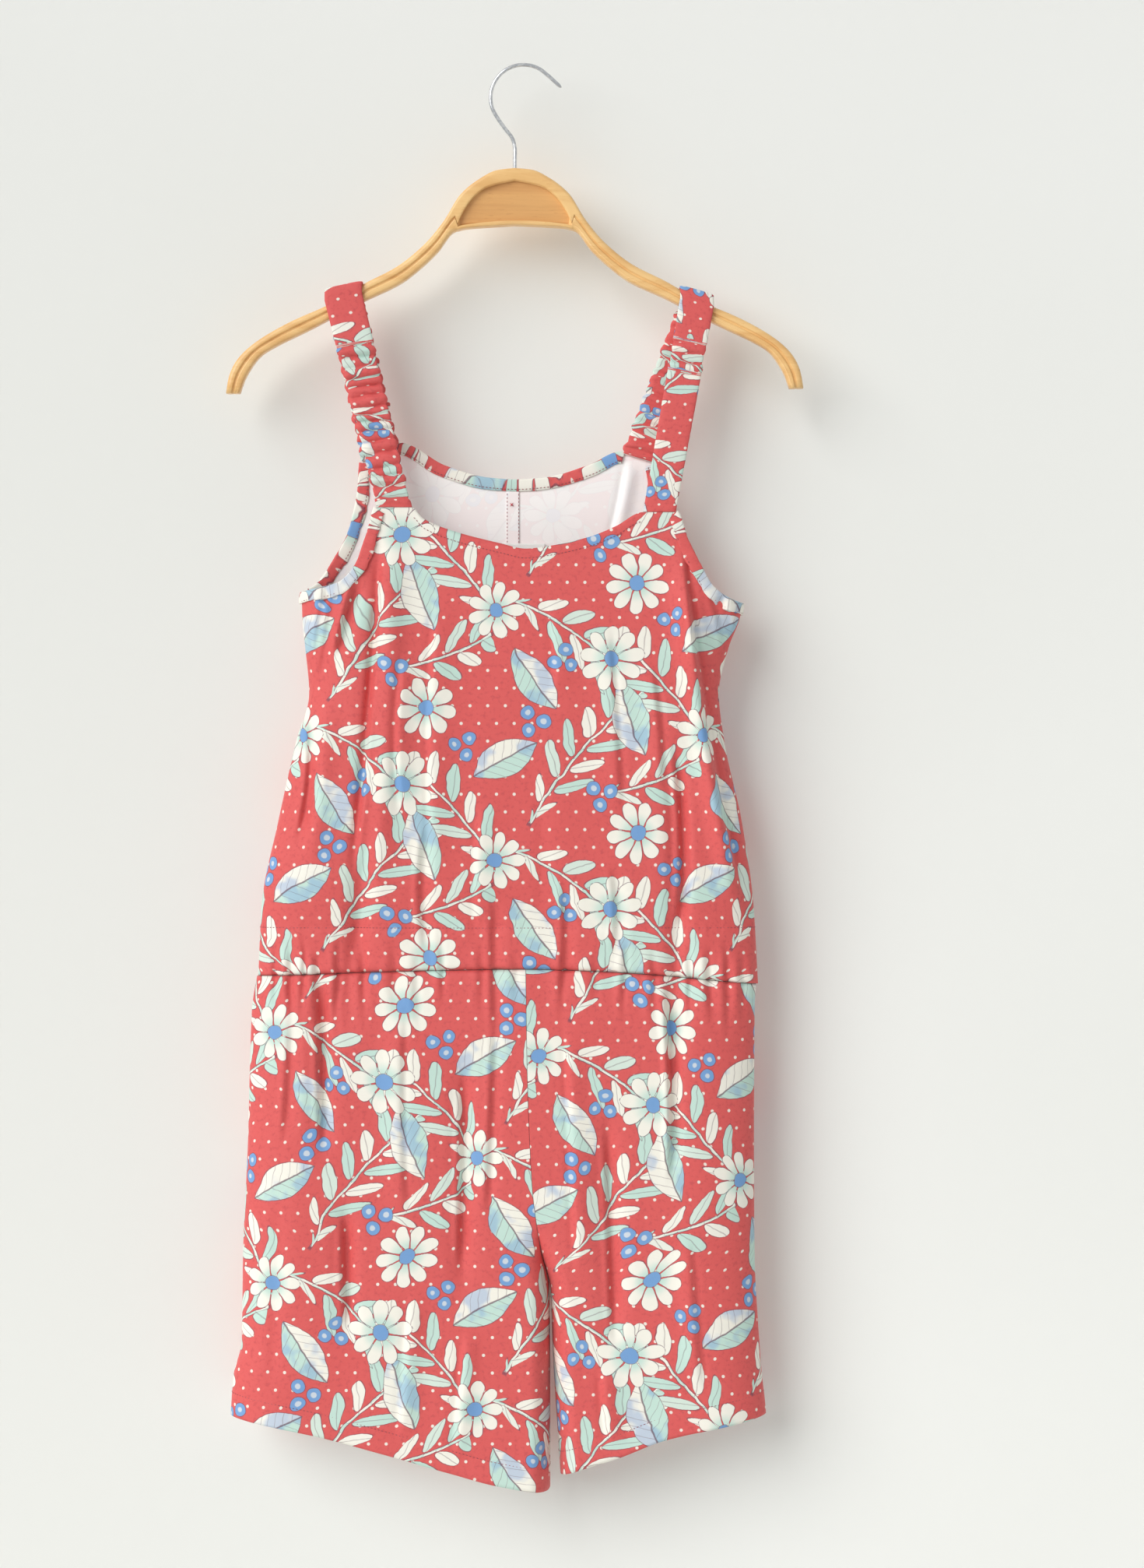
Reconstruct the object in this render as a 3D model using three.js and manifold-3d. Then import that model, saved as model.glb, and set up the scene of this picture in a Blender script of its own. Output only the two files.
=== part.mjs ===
// Sleeveless romper with gathered straps, hung flat on a wooden hanger with a wire hook.
// Millimetres, +Z up, front faces -Y. The origin is the inside of the hook's crown, where a rail holds it.
// A drop is a distance below the origin. Cloth is a wall measured inwards from its outer skin.
import * as THREE from "three";
import { mergeVertices } from "three/addons/utils/BufferGeometryUtils.js";
import Module from "manifold-3d";

const wasm = await Module();
wasm.setup();

// ---- driving dimensions --------------------------------------------------------------------
const SEAM_GAP = 0.3;
const CLOTH = 1.4;
const STRAP_THICKNESS = 2.2;
const STRAP_REACH = 9.6; // outer skin of a strap loop, before and behind the arm's middle plane
const STRAP_CROWN_SHARE = 0.3125; // share of a loop from each seat to where it turns over the arm
const BINDING_WIDTH = 7.5;
const BINDING_THICKNESS = 1;
const BINDING_GAP = 0.8; // room for the curve of the panel inside the fold
// Width over which each side rounds from the face to its side seam, up to the strap's corner.
const SIDE_ROUND = { front: { left: 53.5, right: 49 }, back: { left: 42, right: 64 } };
const INSEAM_ROUND = 15; // the same at the inner edge of a leg
const CROTCH = { start: 850, end: 905 };
const BACK_CENTRE_X = -8;
const LABEL = { left: -17, right: 16, top: 353, foot: 372, thickness: 1 };
const HANGER = { middle: -6.5, thickness: 12, tilt: 0.009, panel: 4 };
const HOOK = { wire: 2.8, radius: 24.4, stem: -6.4, socket: 6, play: 0.3 };

const CORAL = 0xcd7f7b;
const PALE_CORAL = 0xe9dcd8;
const BEECH = 0xf0c27e;
const PANEL_WOOD = 0xdfa766;
const STEEL = 0xc9ccd0;

// Left and right side seams of the bodice.
const BODICE_SIDES = [
  { drop: 391, left: -164.5, right: 164 },
  { drop: 411, left: -164, right: 160 },
  { drop: 430, left: -162, right: 152.5 },
  { drop: 465, left: -159, right: 145 },
  { drop: 500, left: -168.5, right: 149 },
  { drop: 560, left: -182, right: 162 },
  { drop: 620, left: -194, right: 170.5 },
  { drop: 680, left: -197, right: 174 },
];

// Outer sides of the legs.
const LEG_SIDES = [
  { drop: 668, left: -196.5, right: 173.5 },
  { drop: 700, left: -201.5, right: 171.5 },
  { drop: 800, left: -204.5, right: 171 },
  { drop: 880, left: -208, right: 171.5 },
  { drop: 945, left: -209, right: 175 },
  { drop: 970, left: -215, right: 177 },
  { drop: 1000, left: -217, right: 180 },
  { drop: 1053, left: -217.5, right: 181 },
];

// Centre seam down to the crotch, then the inseam of each leg.
const LEG_INSIDE = [
  { drop: 668, left: 1.9, right: 1.9 },
  { drop: 741, left: 3, right: 3 },
  { drop: 825, left: 6.5, right: 6.5 },
  { drop: 875, left: 13, right: 13 },
  { drop: 905, left: 19.5, right: 19.5 },
  { drop: 960, left: 20, right: 22 },
  { drop: 1053, left: 20, right: 28 },
];

// Distance of the front and back skins from the middle plane.
const DEPTHS = [
  { drop: 160, front: 9.6, back: 9.6 },
  { drop: 285, front: 12.4, back: 12.2 },
  { drop: 328, front: 13.5, back: 13 },
  { drop: 391, front: 19, back: 16 },
  { drop: 480, front: 24, back: 18 },
  { drop: 600, front: 25, back: 19 },
  { drop: 640, front: 21.5, back: 17 },
  { drop: 669, front: 20.5, back: 16 },
  { drop: 720, front: 23, back: 18 },
  { drop: 850, front: 25, back: 19 },
  { drop: 1053, front: 26, back: 21 },
];

// Armhole, strap seat, neckline, strap seat, armhole.
const FRONT_TOP = [
  { x: -164.5, drop: 391 },
  { x: -137, drop: 385 },
  { x: -123, drop: 371 },
  { x: -114, drop: 346 },
  { x: -108.5, drop: 328, straight: true },
  { x: -82, drop: 328 },
  { x: -74, drop: 336 },
  { x: -53, drop: 345 },
  { x: -17, drop: 354.5 },
  { x: 2, drop: 358.5 },
  { x: 16, drop: 357 },
  { x: 48, drop: 350 },
  { x: 68, drop: 342 },
  { x: 88.4, drop: 331.5, straight: true },
  { x: 112.7, drop: 331.5 },
  { x: 121, drop: 353 },
  { x: 130, drop: 371 },
  { x: 139.5, drop: 387 },
  { x: 151.5, drop: 396 },
  { x: 164, drop: 400 },
];

const BACK_TOP = [
  { x: -164.5, drop: 391 },
  { x: -154, drop: 384 },
  { x: -141, drop: 365.6 },
  { x: -130.5, drop: 346 },
  { x: -123, drop: 316 },
  { x: -121, drop: 292, straight: true },
  { x: -93, drop: 279 },
  { x: -59, drop: 296 },
  { x: -27, drop: 305 },
  { x: -5.5, drop: 306.5 },
  { x: 16, drop: 305 },
  { x: 48, drop: 296 },
  { x: 73, drop: 285.5, straight: true },
  { x: 98, drop: 293 },
  { x: 102, drop: 318 },
  { x: 113, drop: 346 },
  { x: 128, drop: 370 },
  { x: 146, drop: 393 },
  { x: 164, drop: 400 },
];

const WAIST = [
  { x: -197, drop: 674 },
  { x: -60, drop: 669.5 },
  { x: 0, drop: 668.7 },
  { x: 60, drop: 670.5 },
  { x: 174, drop: 680 },
];

const HEM = [
  { x: -217.5, drop: 999 },
  { x: -154, drop: 1011 },
  { x: -109, drop: 1022.6 },
  { x: -55, drop: 1038 },
  { x: -17, drop: 1048 },
  { x: 18, drop: 1053 },
  { x: 28, drop: 1042 },
  { x: 71, drop: 1027 },
  { x: 105, drop: 1014 },
  { x: 164, drop: 1001.6 },
  { x: 181, drop: 997.6 },
];

// Largest folds, each a soft ridge (rise above 0) or trough through its head, middle and foot.
const FOLDS = [
  { face: "front", head: 340, headX: -104, middleX: -113, foot: 730, footX: -131, rise: -6, width: 8 },
  { face: "front", head: 332, headX: -95, middleX: -100, foot: 640, footX: -116, rise: 4, width: 10 },
  { face: "front", head: 455, headX: -148, middleX: -150, foot: 600, footX: -158, rise: 4, width: 9 },
  { face: "front", head: 372, headX: 119, middleX: 137, foot: 640, footX: 163, rise: 5, width: 9 },
  { face: "front", head: 418, headX: 131, middleX: 147, foot: 640, footX: 166, rise: -6, width: 8 },
  { face: "front", head: 490, headX: 109, middleX: 114, foot: 770, footX: 110, rise: -5, width: 7 },
  { face: "front", head: 675, headX: -148, middleX: -148, foot: 815, footX: -146, rise: -4, width: 8 },
  { face: "front", head: 830, headX: -130, middleX: -130, foot: 950, footX: -128, rise: -4, width: 8 },
  { face: "front", head: 715, headX: -43, middleX: -44, foot: 925, footX: -45, rise: -4, width: 9 },
  { face: "front", head: 760, headX: 60, middleX: 64, foot: 960, footX: 68, rise: -3.5, width: 9 },
  { face: "back", head: 330, headX: -104, middleX: -114, foot: 660, footX: -128, rise: -5, width: 10 },
  { face: "back", head: 330, headX: 95, middleX: 108, foot: 650, footX: 124, rise: -5, width: 10 },
  { face: "back", head: 460, headX: -40, middleX: -44, foot: 800, footX: -50, rise: 3.5, width: 12 },
  { face: "back", head: 560, headX: 52, middleX: 58, foot: 900, footX: 66, rise: -3.5, width: 11 },
  { face: "back", head: 720, headX: -120, middleX: -122, foot: 960, footX: -126, rise: -4, width: 10 },
];

// Seats and crowns of the two strap loops: each side's x and drop.
const STRAPS = [
  {
    name: "strap_left",
    front: { left: -108.5, leftDrop: 328, right: -82, rightDrop: 328 },
    crown: { left: -147, leftDrop: 165.1, right: -119.3, rightDrop: 159.1 },
    back: { left: -121, leftDrop: 292, right: -93, rightDrop: 279 },
  },
  {
    name: "strap_right",
    front: { left: 88.4, leftDrop: 331.5, right: 112.7, rightDrop: 331.5 },
    crown: { left: 116, leftDrop: 162.4, right: 141, rightDrop: 169.5 },
    back: { left: 73, leftDrop: 285.5, right: 98, rightDrop: 293 },
  },
];

// Hanger outline from its middle outwards: top edge, underside, and the window under the arch.
const HANGER_TOP = [
  { out: 0, drop: 75.5 },
  { out: 13, drop: 77 },
  { out: 26, drop: 83.3 },
  { out: 40, drop: 94.6 },
  { out: 53, drop: 115 },
  { out: 67, drop: 131.6 },
  { out: 87.5, drop: 148 },
  { out: 111.5, drop: 160.3 },
  { out: 137.5, drop: 175.4 },
  { out: 165, drop: 187.5 },
  { out: 182.5, drop: 196.8 },
  { out: 196, drop: 206 },
  { out: 206, drop: 216.2 },
  { out: 212, drop: 228.6 },
  { out: 214, drop: 240.5 },
];

const HANGER_UNDER = [
  { out: 0, drop: 117.8 },
  { out: 36, drop: 120 },
  { out: 45, drop: 122.6 },
  { out: 57, drop: 137.3 },
  { out: 71, drop: 150.3 },
  { out: 84.5, drop: 160.3 },
  { out: 112, drop: 173.3 },
  { out: 151.5, drop: 193.8 },
  { out: 179, drop: 207.2 },
  { out: 188, drop: 213 },
  { out: 199.5, drop: 229.5 },
  { out: 203.5, drop: 240.5 },
];

const WINDOW_TOP = [
  { out: 0, drop: 85 },
  { out: 20, drop: 89.5 },
  { out: 30, drop: 96.5 },
  { out: 38, drop: 107 },
  { out: 43, drop: 116 },
];
const WINDOW_FOOT = { middle: 115, end: 117.4 };

// ---- shape helpers -------------------------------------------------------------------------
const mix = (a, b, share) => a + (b - a) * share;
const clamp01 = (value) => Math.min(1, Math.max(0, value));
const ease = (value) => clamp01(value) ** 2 * (3 - 2 * clamp01(value));

// Evenly spaced numbers from one to another, both included.
function spread(from, to, count) {
  return Array.from({ length: count + 1 }, (_, i) => mix(from, to, i / count));
}

// Reads one column of a table at a place along its key column, on a curve that never overshoots,
// or on a straight line where the row asks for one.
function read(table, key, column, at) {
  const last = table.length - 1;
  if (at <= table[0][key]) return table[0][column];
  if (at >= table[last][key]) return table[last][column];
  const row = table.findIndex((_, i) => at <= table[i + 1][key]);
  if (table[row].straight) {
    const share = (at - table[row][key]) / (table[row + 1][key] - table[row][key]);
    return mix(table[row][column], table[row + 1][column], share);
  }
  const step = (i) => table[i + 1][key] - table[i][key];
  const slope = (i) => (table[i + 1][column] - table[i][column]) / step(i);
  const tangent = (i) => {
    if (i === 0) return slope(0);
    if (i === last) return slope(last - 1);
    const before = slope(i - 1);
    const after = slope(i);
    return before * after <= 0 ? 0 : (2 * before * after) / (before + after);
  };
  const t = (at - table[row][key]) / step(row);
  const bend = t * t * (3 - 2 * t);
  const lead = t * (1 - t) * (1 - t) * tangent(row);
  const trail = t * t * (1 - t) * tangent(row + 1);
  return mix(table[row][column], table[row + 1][column], bend) + step(row) * (lead - trail);
}

// A body with its faces pointing out, from points and triangles.
function closedMesh(name, points, triangles, colour, roughness) {
  const volume = triangles.reduce((sum, [a, b, c]) => {
    const cross = new THREE.Vector3().crossVectors(points[b], points[c]);
    return sum + points[a].dot(cross);
  }, 0);
  const order = volume < 0 ? triangles.map(([a, b, c]) => [a, c, b]) : triangles;
  const geometry = new THREE.BufferGeometry().setFromPoints(points);
  geometry.setIndex(order.flat());
  geometry.computeVertexNormals();
  return named(name, geometry, colour, roughness, 0);
}

function named(name, geometry, colour, roughness, metalness) {
  const material = new THREE.MeshStandardMaterial({ color: colour, roughness, metalness });
  const mesh = new THREE.Mesh(geometry, material);
  mesh.name = name;
  return mesh;
}

// A closed wall between two grids of points that share their rims.
function wall(name, outer, inner, colour) {
  const rows = outer.length;
  const columns = outer[0].length;
  const points = [...outer.flat(), ...inner.flat()];
  const behind = rows * columns;
  const at = (row, column) => row * columns + column;
  const triangles = [];
  const quad = (a, b, c, d) => triangles.push([a, b, c], [a, c, d]);
  for (let r = 0; r < rows - 1; r += 1) {
    for (let c = 0; c < columns - 1; c += 1) {
      const corners = [at(r, c), at(r + 1, c), at(r + 1, c + 1), at(r, c + 1)];
      quad(...corners);
      quad(...corners.map((i) => i + behind).reverse());
    }
  }
  const rim = [];
  for (let c = 0; c < columns - 1; c += 1) rim.push(at(0, c));
  for (let r = 0; r < rows - 1; r += 1) rim.push(at(r, columns - 1));
  for (let c = columns - 1; c > 0; c -= 1) rim.push(at(rows - 1, c));
  for (let r = rows - 1; r > 0; r -= 1) rim.push(at(r, 0));
  rim.forEach((from, i) => {
    const to = rim[(i + 1) % rim.length];
    quad(from, to, to + behind, from + behind);
  });
  return closedMesh(name, points, triangles, colour, 0.85);
}

// ---- cloth panels --------------------------------------------------------------------------
// Height of every fold at a place on one face, outwards.
function foldRise(face, x, drop) {
  const rises = FOLDS.filter((fold) => fold.face === face).map((fold) => {
    const share = (drop - fold.head) / (fold.foot - fold.head);
    if (share <= 0 || share >= 1) return 0;
    const bow = fold.middleX - mix(fold.headX, fold.footX, 0.5);
    const path = mix(fold.headX, fold.footX, share) + 4 * share * (1 - share) * bow;
    const strength = ease(share / 0.25) * ease((1 - share) / 0.25);
    return fold.rise * strength * Math.exp(-(((x - path) / fold.width) ** 2));
  });
  return rises.reduce((sum, rise) => sum + rise, 0);
}

// A panel runs across from its left edge to its right one. An edge that closes on the other face
// rounds back to the middle plane over its round; a seam edge stays on the face.
class Panel {
  constructor(plan) {
    Object.assign(this, plan);
    this.cornerLeft = this.roundLeft ? this.cornerColumns / this.columns : 0;
    this.cornerRight = this.roundRight ? this.cornerColumns / this.columns : 0;
  }

  // Place across (0 to 1) and drop to a point on the outer skin.
  skin(across, drop) {
    const left = this.left(drop);
    const right = this.right(drop);
    const roundLeft = this.roundLeft || 0;
    const roundRight = this.roundRight || 0;
    let x;
    let lift = 1;
    if (this.roundLeft && across < this.cornerLeft) {
      const angle = ((across / this.cornerLeft) * Math.PI) / 2;
      x = left + roundLeft * (1 - Math.cos(angle));
      lift = mix(1, Math.sin(angle), this.closesLeft(drop));
    } else if (this.roundRight && across > 1 - this.cornerRight) {
      const angle = (((1 - across) / this.cornerRight) * Math.PI) / 2;
      x = right - roundRight * (1 - Math.cos(angle));
      lift = mix(1, Math.sin(angle), this.closesRight(drop));
    } else {
      const share = (across - this.cornerLeft) / (1 - this.cornerLeft - this.cornerRight);
      x = mix(left + roundLeft, right - roundRight, share);
    }
    const towards = this.face === "front" ? -1 : 1;
    const depth = read(DEPTHS, "drop", this.face, drop) + foldRise(this.face, x, drop);
    return new THREE.Vector3(x, towards * (SEAM_GAP / 2 + lift * depth), -drop);
  }

  // Outward unit normal of the skin.
  normal(across, drop) {
    const step = 0.002;
    const before = Math.max(0, across - step);
    const after = Math.min(1, across + step);
    const sideways = this.skin(after, drop).sub(this.skin(before, drop));
    const down = this.skin(across, drop + 0.5).sub(this.skin(across, drop - 0.5));
    const normal = new THREE.Vector3().crossVectors(down, sideways).normalize();
    return this.face === "front" ? normal : normal.negate();
  }

  // Drop of an edge curve where this place across meets it.
  edge(table, across) {
    let drop = table[0].drop;
    for (let pass = 0; pass < 12; pass += 1) drop = read(table, "x", "drop", this.skin(across, drop).x);
    return drop;
  }

  top(across) {
    return this.edge(this.topEdge, across) + (this.topGap || 0);
  }

  foot(across) {
    return this.edge(this.footEdge, across) - (this.footGap || 0);
  }

  // Drop of a row at this place across. Rows of a leg meet its crotch row on the way.
  dropAt(across, share) {
    const top = this.top(across);
    const foot = this.foot(across);
    if (!this.crotchShare) return mix(top, foot, share);
    if (share < this.crotchShare) return mix(top, CROTCH.end, share / this.crotchShare);
    return mix(CROTCH.end, foot, (share - this.crotchShare) / (1 - this.crotchShare));
  }

  build() {
    const outer = [];
    const inner = [];
    for (let r = 0; r <= this.rows; r += 1) {
      const outerRow = [];
      const innerRow = [];
      for (let c = 0; c <= this.columns; c += 1) {
        const across = c / this.columns;
        const drop = this.dropAt(across, r / this.rows);
        const point = this.skin(across, drop);
        outerRow.push(point);
        innerRow.push(point.clone().addScaledVector(this.normal(across, drop), -CLOTH));
      }
      outer.push(outerRow);
      inner.push(innerRow);
    }
    return wall(this.name, outer, inner, CORAL);
  }
}

const always = () => 1;
const belowCrotch = (drop) => ease((drop - CROTCH.start) / (CROTCH.end - CROTCH.start));
const bodiceLeft = (drop) => read(BODICE_SIDES, "drop", "left", drop);
const bodiceRight = (drop) => read(BODICE_SIDES, "drop", "right", drop);
const legOutside = (side) => (drop) => read(LEG_SIDES, "drop", side, drop);
const inseam = (side, gap) => (drop) => read(LEG_INSIDE, "drop", side, drop) + gap;
const bodiceFoot = { footEdge: WAIST, footGap: SEAM_GAP };

const frontBodice = new Panel({
  name: "front_bodice",
  face: "front",
  left: bodiceLeft,
  right: bodiceRight,
  roundLeft: SIDE_ROUND.front.left,
  roundRight: SIDE_ROUND.front.right,
  closesLeft: always,
  closesRight: always,
  topEdge: FRONT_TOP,
  ...bodiceFoot,
  columns: 27,
  cornerColumns: 6,
  rows: 12,
});

const backBodiceLeft = new Panel({
  name: "back_bodice_left",
  face: "back",
  left: bodiceLeft,
  right: () => BACK_CENTRE_X - SEAM_GAP / 2,
  roundLeft: SIDE_ROUND.back.left,
  closesLeft: always,
  topEdge: BACK_TOP,
  ...bodiceFoot,
  columns: 14,
  cornerColumns: 5,
  rows: 12,
});

const backBodiceRight = new Panel({
  name: "back_bodice_right",
  face: "back",
  left: () => BACK_CENTRE_X + SEAM_GAP / 2,
  right: bodiceRight,
  roundRight: SIDE_ROUND.back.right,
  closesRight: always,
  topEdge: BACK_TOP,
  ...bodiceFoot,
  columns: 14,
  cornerColumns: 5,
  rows: 12,
});

function leg(side, face) {
  const outside = side === "left" ? "Left" : "Right";
  const inside = side === "left" ? "Right" : "Left";
  const gap = side === "left" ? -SEAM_GAP / 2 : SEAM_GAP / 2;
  return new Panel({
    name: `${face}_leg_${side}`,
    face,
    [outside.toLowerCase()]: legOutside(side),
    [inside.toLowerCase()]: inseam(side, gap),
    [`round${outside}`]: SIDE_ROUND[face][side],
    [`round${inside}`]: INSEAM_ROUND,
    [`closes${outside}`]: always,
    [`closes${inside}`]: belowCrotch,
    topEdge: WAIST,
    footEdge: HEM,
    columns: face === "front" ? 16 : 14,
    cornerColumns: 4,
    rows: 12,
    crotchShare: 2 / 3,
  });
}

const legs = ["front", "back"].flatMap((face) => ["left", "right"].map((side) => leg(side, face)));

// ---- bindings ------------------------------------------------------------------------------
// A strip folded over a panel's top edge: its section is a U that follows the skin on both sides.
function bindingSection(panel, across) {
  const drop = panel.top(across);
  const step = 0.004;
  const before = Math.max(0, across - step);
  const after = Math.min(1, across + step);
  const edge = panel.skin(across, drop);
  const tangent = panel.skin(after, panel.top(after)).sub(panel.skin(before, panel.top(before)));
  const normal = panel.normal(across, drop);
  const inwards = new THREE.Vector3().crossVectors(normal, tangent).normalize();
  if (inwards.z > 0) inwards.negate();
  const sideways = panel.skin(after, drop).sub(panel.skin(before, drop));
  const down = panel.skin(across, drop + 0.5).sub(panel.skin(across, drop - 0.5));
  const stretch = sideways.clone().cross(down).lengthSq();
  const alongSide = inwards.clone().cross(down).dot(sideways.clone().cross(down)) / stretch;
  const alongDown = sideways.clone().cross(inwards).dot(sideways.clone().cross(down)) / stretch;
  const place = (depth) => [across + alongSide * (after - before) * depth, drop + alongDown * depth];
  const outerFace = BINDING_GAP + BINDING_THICKNESS;
  const lift = (depth, height) => {
    if (depth < 0) return edge.clone().addScaledVector(inwards, depth).addScaledVector(normal, height);
    const [sideAt, dropAt] = place(depth);
    return panel.skin(sideAt, dropAt).addScaledVector(panel.normal(sideAt, dropAt), height);
  };
  return [
    lift(BINDING_WIDTH, BINDING_GAP),
    lift(BINDING_WIDTH, outerFace),
    lift(BINDING_WIDTH / 2, outerFace),
    lift(-outerFace, outerFace),
    lift(-outerFace, -CLOTH - outerFace),
    lift(BINDING_WIDTH / 2, -CLOTH - outerFace),
    lift(BINDING_WIDTH, -CLOTH - outerFace),
    lift(BINDING_WIDTH, -CLOTH - BINDING_GAP),
    lift(BINDING_WIDTH / 2, -CLOTH - BINDING_GAP),
    lift(-BINDING_GAP, -CLOTH - BINDING_GAP),
    lift(-BINDING_GAP, BINDING_GAP),
    lift(BINDING_WIDTH / 2, BINDING_GAP),
  ];
}

// A closed sweep through sections of the same number of points.
function sweep(name, sections, colour) {
  const size = sections[0].length;
  const points = sections.flat();
  const triangles = [];
  for (let s = 0; s < sections.length - 1; s += 1) {
    for (let i = 0; i < size; i += 1) {
      const next = (i + 1) % size;
      const a = s * size + i;
      const b = s * size + next;
      triangles.push([a, b, b + size], [a, b + size, a + size]);
    }
  }
  const cap = uCapTriangles();
  const end = (sections.length - 1) * size;
  cap.forEach(([a, b, c]) => triangles.push([a, c, b], [a + end, b + end, c + end]));
  return closedMesh(name, points, triangles, colour, 0.85);
}

// Triangles that fill a U section of twelve points, walked round from its outer leg.
function uCapTriangles() {
  return [
    [0, 1, 2],
    [0, 2, 11],
    [11, 2, 3],
    [11, 3, 10],
    [10, 3, 4],
    [10, 4, 9],
    [9, 4, 5],
    [9, 5, 8],
    [8, 5, 6],
    [8, 6, 7],
  ];
}

// Place of an x along a panel's top edge, counted in columns.
function columnAt(panel, x) {
  let low = 0;
  let high = 1;
  for (let pass = 0; pass < 30; pass += 1) {
    const middle = (low + high) / 2;
    if (panel.skin(middle, panel.top(middle)).x < x) low = middle;
    else high = middle;
  }
  return ((low + high) / 2) * panel.columns;
}

// A binding turns at its panel's own columns, so that both follow the same straight stretches.
function bindingRun({ panel, fromX, toX }) {
  const from = columnAt(panel, fromX);
  const to = columnAt(panel, toX);
  const places = [from];
  const low = Math.min(from, to);
  const high = Math.max(from, to);
  const between = spread(0, panel.columns, panel.columns).filter((c) => c > low && c < high);
  places.push(...(to > from ? between : between.reverse()), to);
  return places.map((place) => {
    const before = Math.floor(place);
    const start = bindingSection(panel, before / panel.columns);
    if (place === before) return start;
    const end = bindingSection(panel, (before + 1) / panel.columns);
    return start.map((point, i) => point.lerp(end[i], place - before));
  });
}

function binding(name, runs) {
  return sweep(name, runs.flatMap(bindingRun), CORAL);
}

const bindings = [
  binding("neck_binding", [
    { panel: backBodiceLeft, fromX: -88, toX: BACK_CENTRE_X - 1 },
    { panel: backBodiceRight, fromX: BACK_CENTRE_X + 1, toX: 69 },
  ]),
  binding("armhole_binding_left", [
    { panel: frontBodice, fromX: -111, toX: -170 },
    { panel: backBodiceLeft, fromX: -170, toX: -122.6 },
  ]),
  binding("armhole_binding_right", [
    { panel: frontBodice, fromX: 115, toX: 170 },
    { panel: backBodiceRight, fromX: 170, toX: 100.1 },
  ]),
];

// ---- straps --------------------------------------------------------------------------------
// One edge of a strap loop, from its front seat over the arm to its back seat.
function strapEdge(strap, side, share) {
  const dropName = `${side}Drop`;
  const seat = share < 0.5 ? strap.front : strap.back;
  const towards = share < 0.5 ? -1 : 1;
  const fromSeat = Math.min(share, 1 - share);
  const crownX = strap.crown[side];
  const arcDrop = strap.crown[dropName] + STRAP_REACH;
  if (fromSeat < STRAP_CROWN_SHARE) {
    const t = fromSeat / STRAP_CROWN_SHARE;
    const face = share < 0.5 ? "front" : "back";
    const seatReach = SEAM_GAP / 2 + read(DEPTHS, "drop", face, seat[dropName]);
    const x = mix(seat[side], crownX, t);
    const drop = mix(seat[dropName] - SEAM_GAP, arcDrop, t);
    return new THREE.Vector3(x, towards * mix(seatReach, STRAP_REACH, t), -drop);
  }
  const angle = ((fromSeat - STRAP_CROWN_SHARE) / (0.5 - STRAP_CROWN_SHARE)) * (Math.PI / 2);
  const squareness = 0.34; // the loop lies flat over the arm and turns sharply at its edges
  const y = towards * STRAP_REACH * Math.abs(Math.cos(angle)) ** squareness;
  return new THREE.Vector3(crownX, y, STRAP_REACH * Math.sin(angle) ** squareness - arcDrop);
}

function buildStrap(strap) {
  const stations = 32;
  const columns = 2;
  const skinAt = (along, across) => {
    const left = strapEdge(strap, "left", along);
    return left.lerp(strapEdge(strap, "right", along), across);
  };
  const outer = [];
  const inner = [];
  for (let s = 0; s <= stations; s += 1) {
    const along = s / stations;
    const before = skinAt(Math.max(0, along - 0.01), 0.5);
    const after = skinAt(Math.min(1, along + 0.01), 0.5);
    const widthwise = skinAt(along, 1).sub(skinAt(along, 0));
    const normal = widthwise.cross(after.sub(before)).normalize();
    if (normal.dot(skinAt(along, 0.5).sub(new THREE.Vector3(strap.crown.left, 0, -180))) < 0) {
      normal.negate();
    }
    const places = Array.from({ length: columns + 1 }, (_, c) => skinAt(along, c / columns));
    outer.push(places);
    inner.push(places.map((point) => point.clone().addScaledVector(normal, -STRAP_THICKNESS)));
  }
  return wall(strap.name, outer, inner, CORAL);
}

// ---- neck label ----------------------------------------------------------------------------
function buildLabel() {
  const skinInside = (x, drop) => {
    const reach = SEAM_GAP / 2 + read(DEPTHS, "drop", "back", drop) - CLOTH - 2 * SEAM_GAP;
    return new THREE.Vector3(x, reach, -drop);
  };
  const grid = (offset) =>
    [LABEL.top, mix(LABEL.top, LABEL.foot, 0.5), LABEL.foot].map((drop) =>
      [LABEL.left, LABEL.right].map((x) => skinInside(x, drop).add(new THREE.Vector3(0, -offset, 0))),
    );
  const label = wall("neck_label", grid(0), grid(LABEL.thickness), CORAL);
  label.material.color.set(PALE_CORAL);
  return label;
}

// ---- hanger --------------------------------------------------------------------------------
// A point on the hanger's outline, at a signed distance out from its middle.
function hangerPoint(table, out) {
  const drop = read(table, "out", "drop", Math.abs(out));
  return new THREE.Vector2(HANGER.middle + out, HANGER.tilt * out - drop);
}

function windowOutline(inset) {
  const end = WINDOW_TOP[WINDOW_TOP.length - 1].out - inset * 2.4;
  const arch = spread(-end, end, 20).map((out) => hangerPoint(WINDOW_TOP, out));
  arch.forEach((point) => {
    point.y -= inset;
  });
  const foot = spread(end, -end, 8).map((out) => {
    const bow = mix(WINDOW_FOOT.middle, WINDOW_FOOT.end, (out / end) ** 2);
    return new THREE.Vector2(HANGER.middle + out, HANGER.tilt * out - bow + inset);
  });
  return [...arch, ...foot];
}

function asManifold(geometry) {
  const bare = geometry.clone();
  bare.deleteAttribute("normal");
  bare.deleteAttribute("uv");
  const merged = mergeVertices(bare, 1e-4);
  const vertProperties = new Float32Array(merged.attributes.position.array);
  const triVerts = new Uint32Array(merged.index.array);
  return new wasm.Manifold(new wasm.Mesh({ numProp: 3, vertProperties, triVerts }));
}

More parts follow.
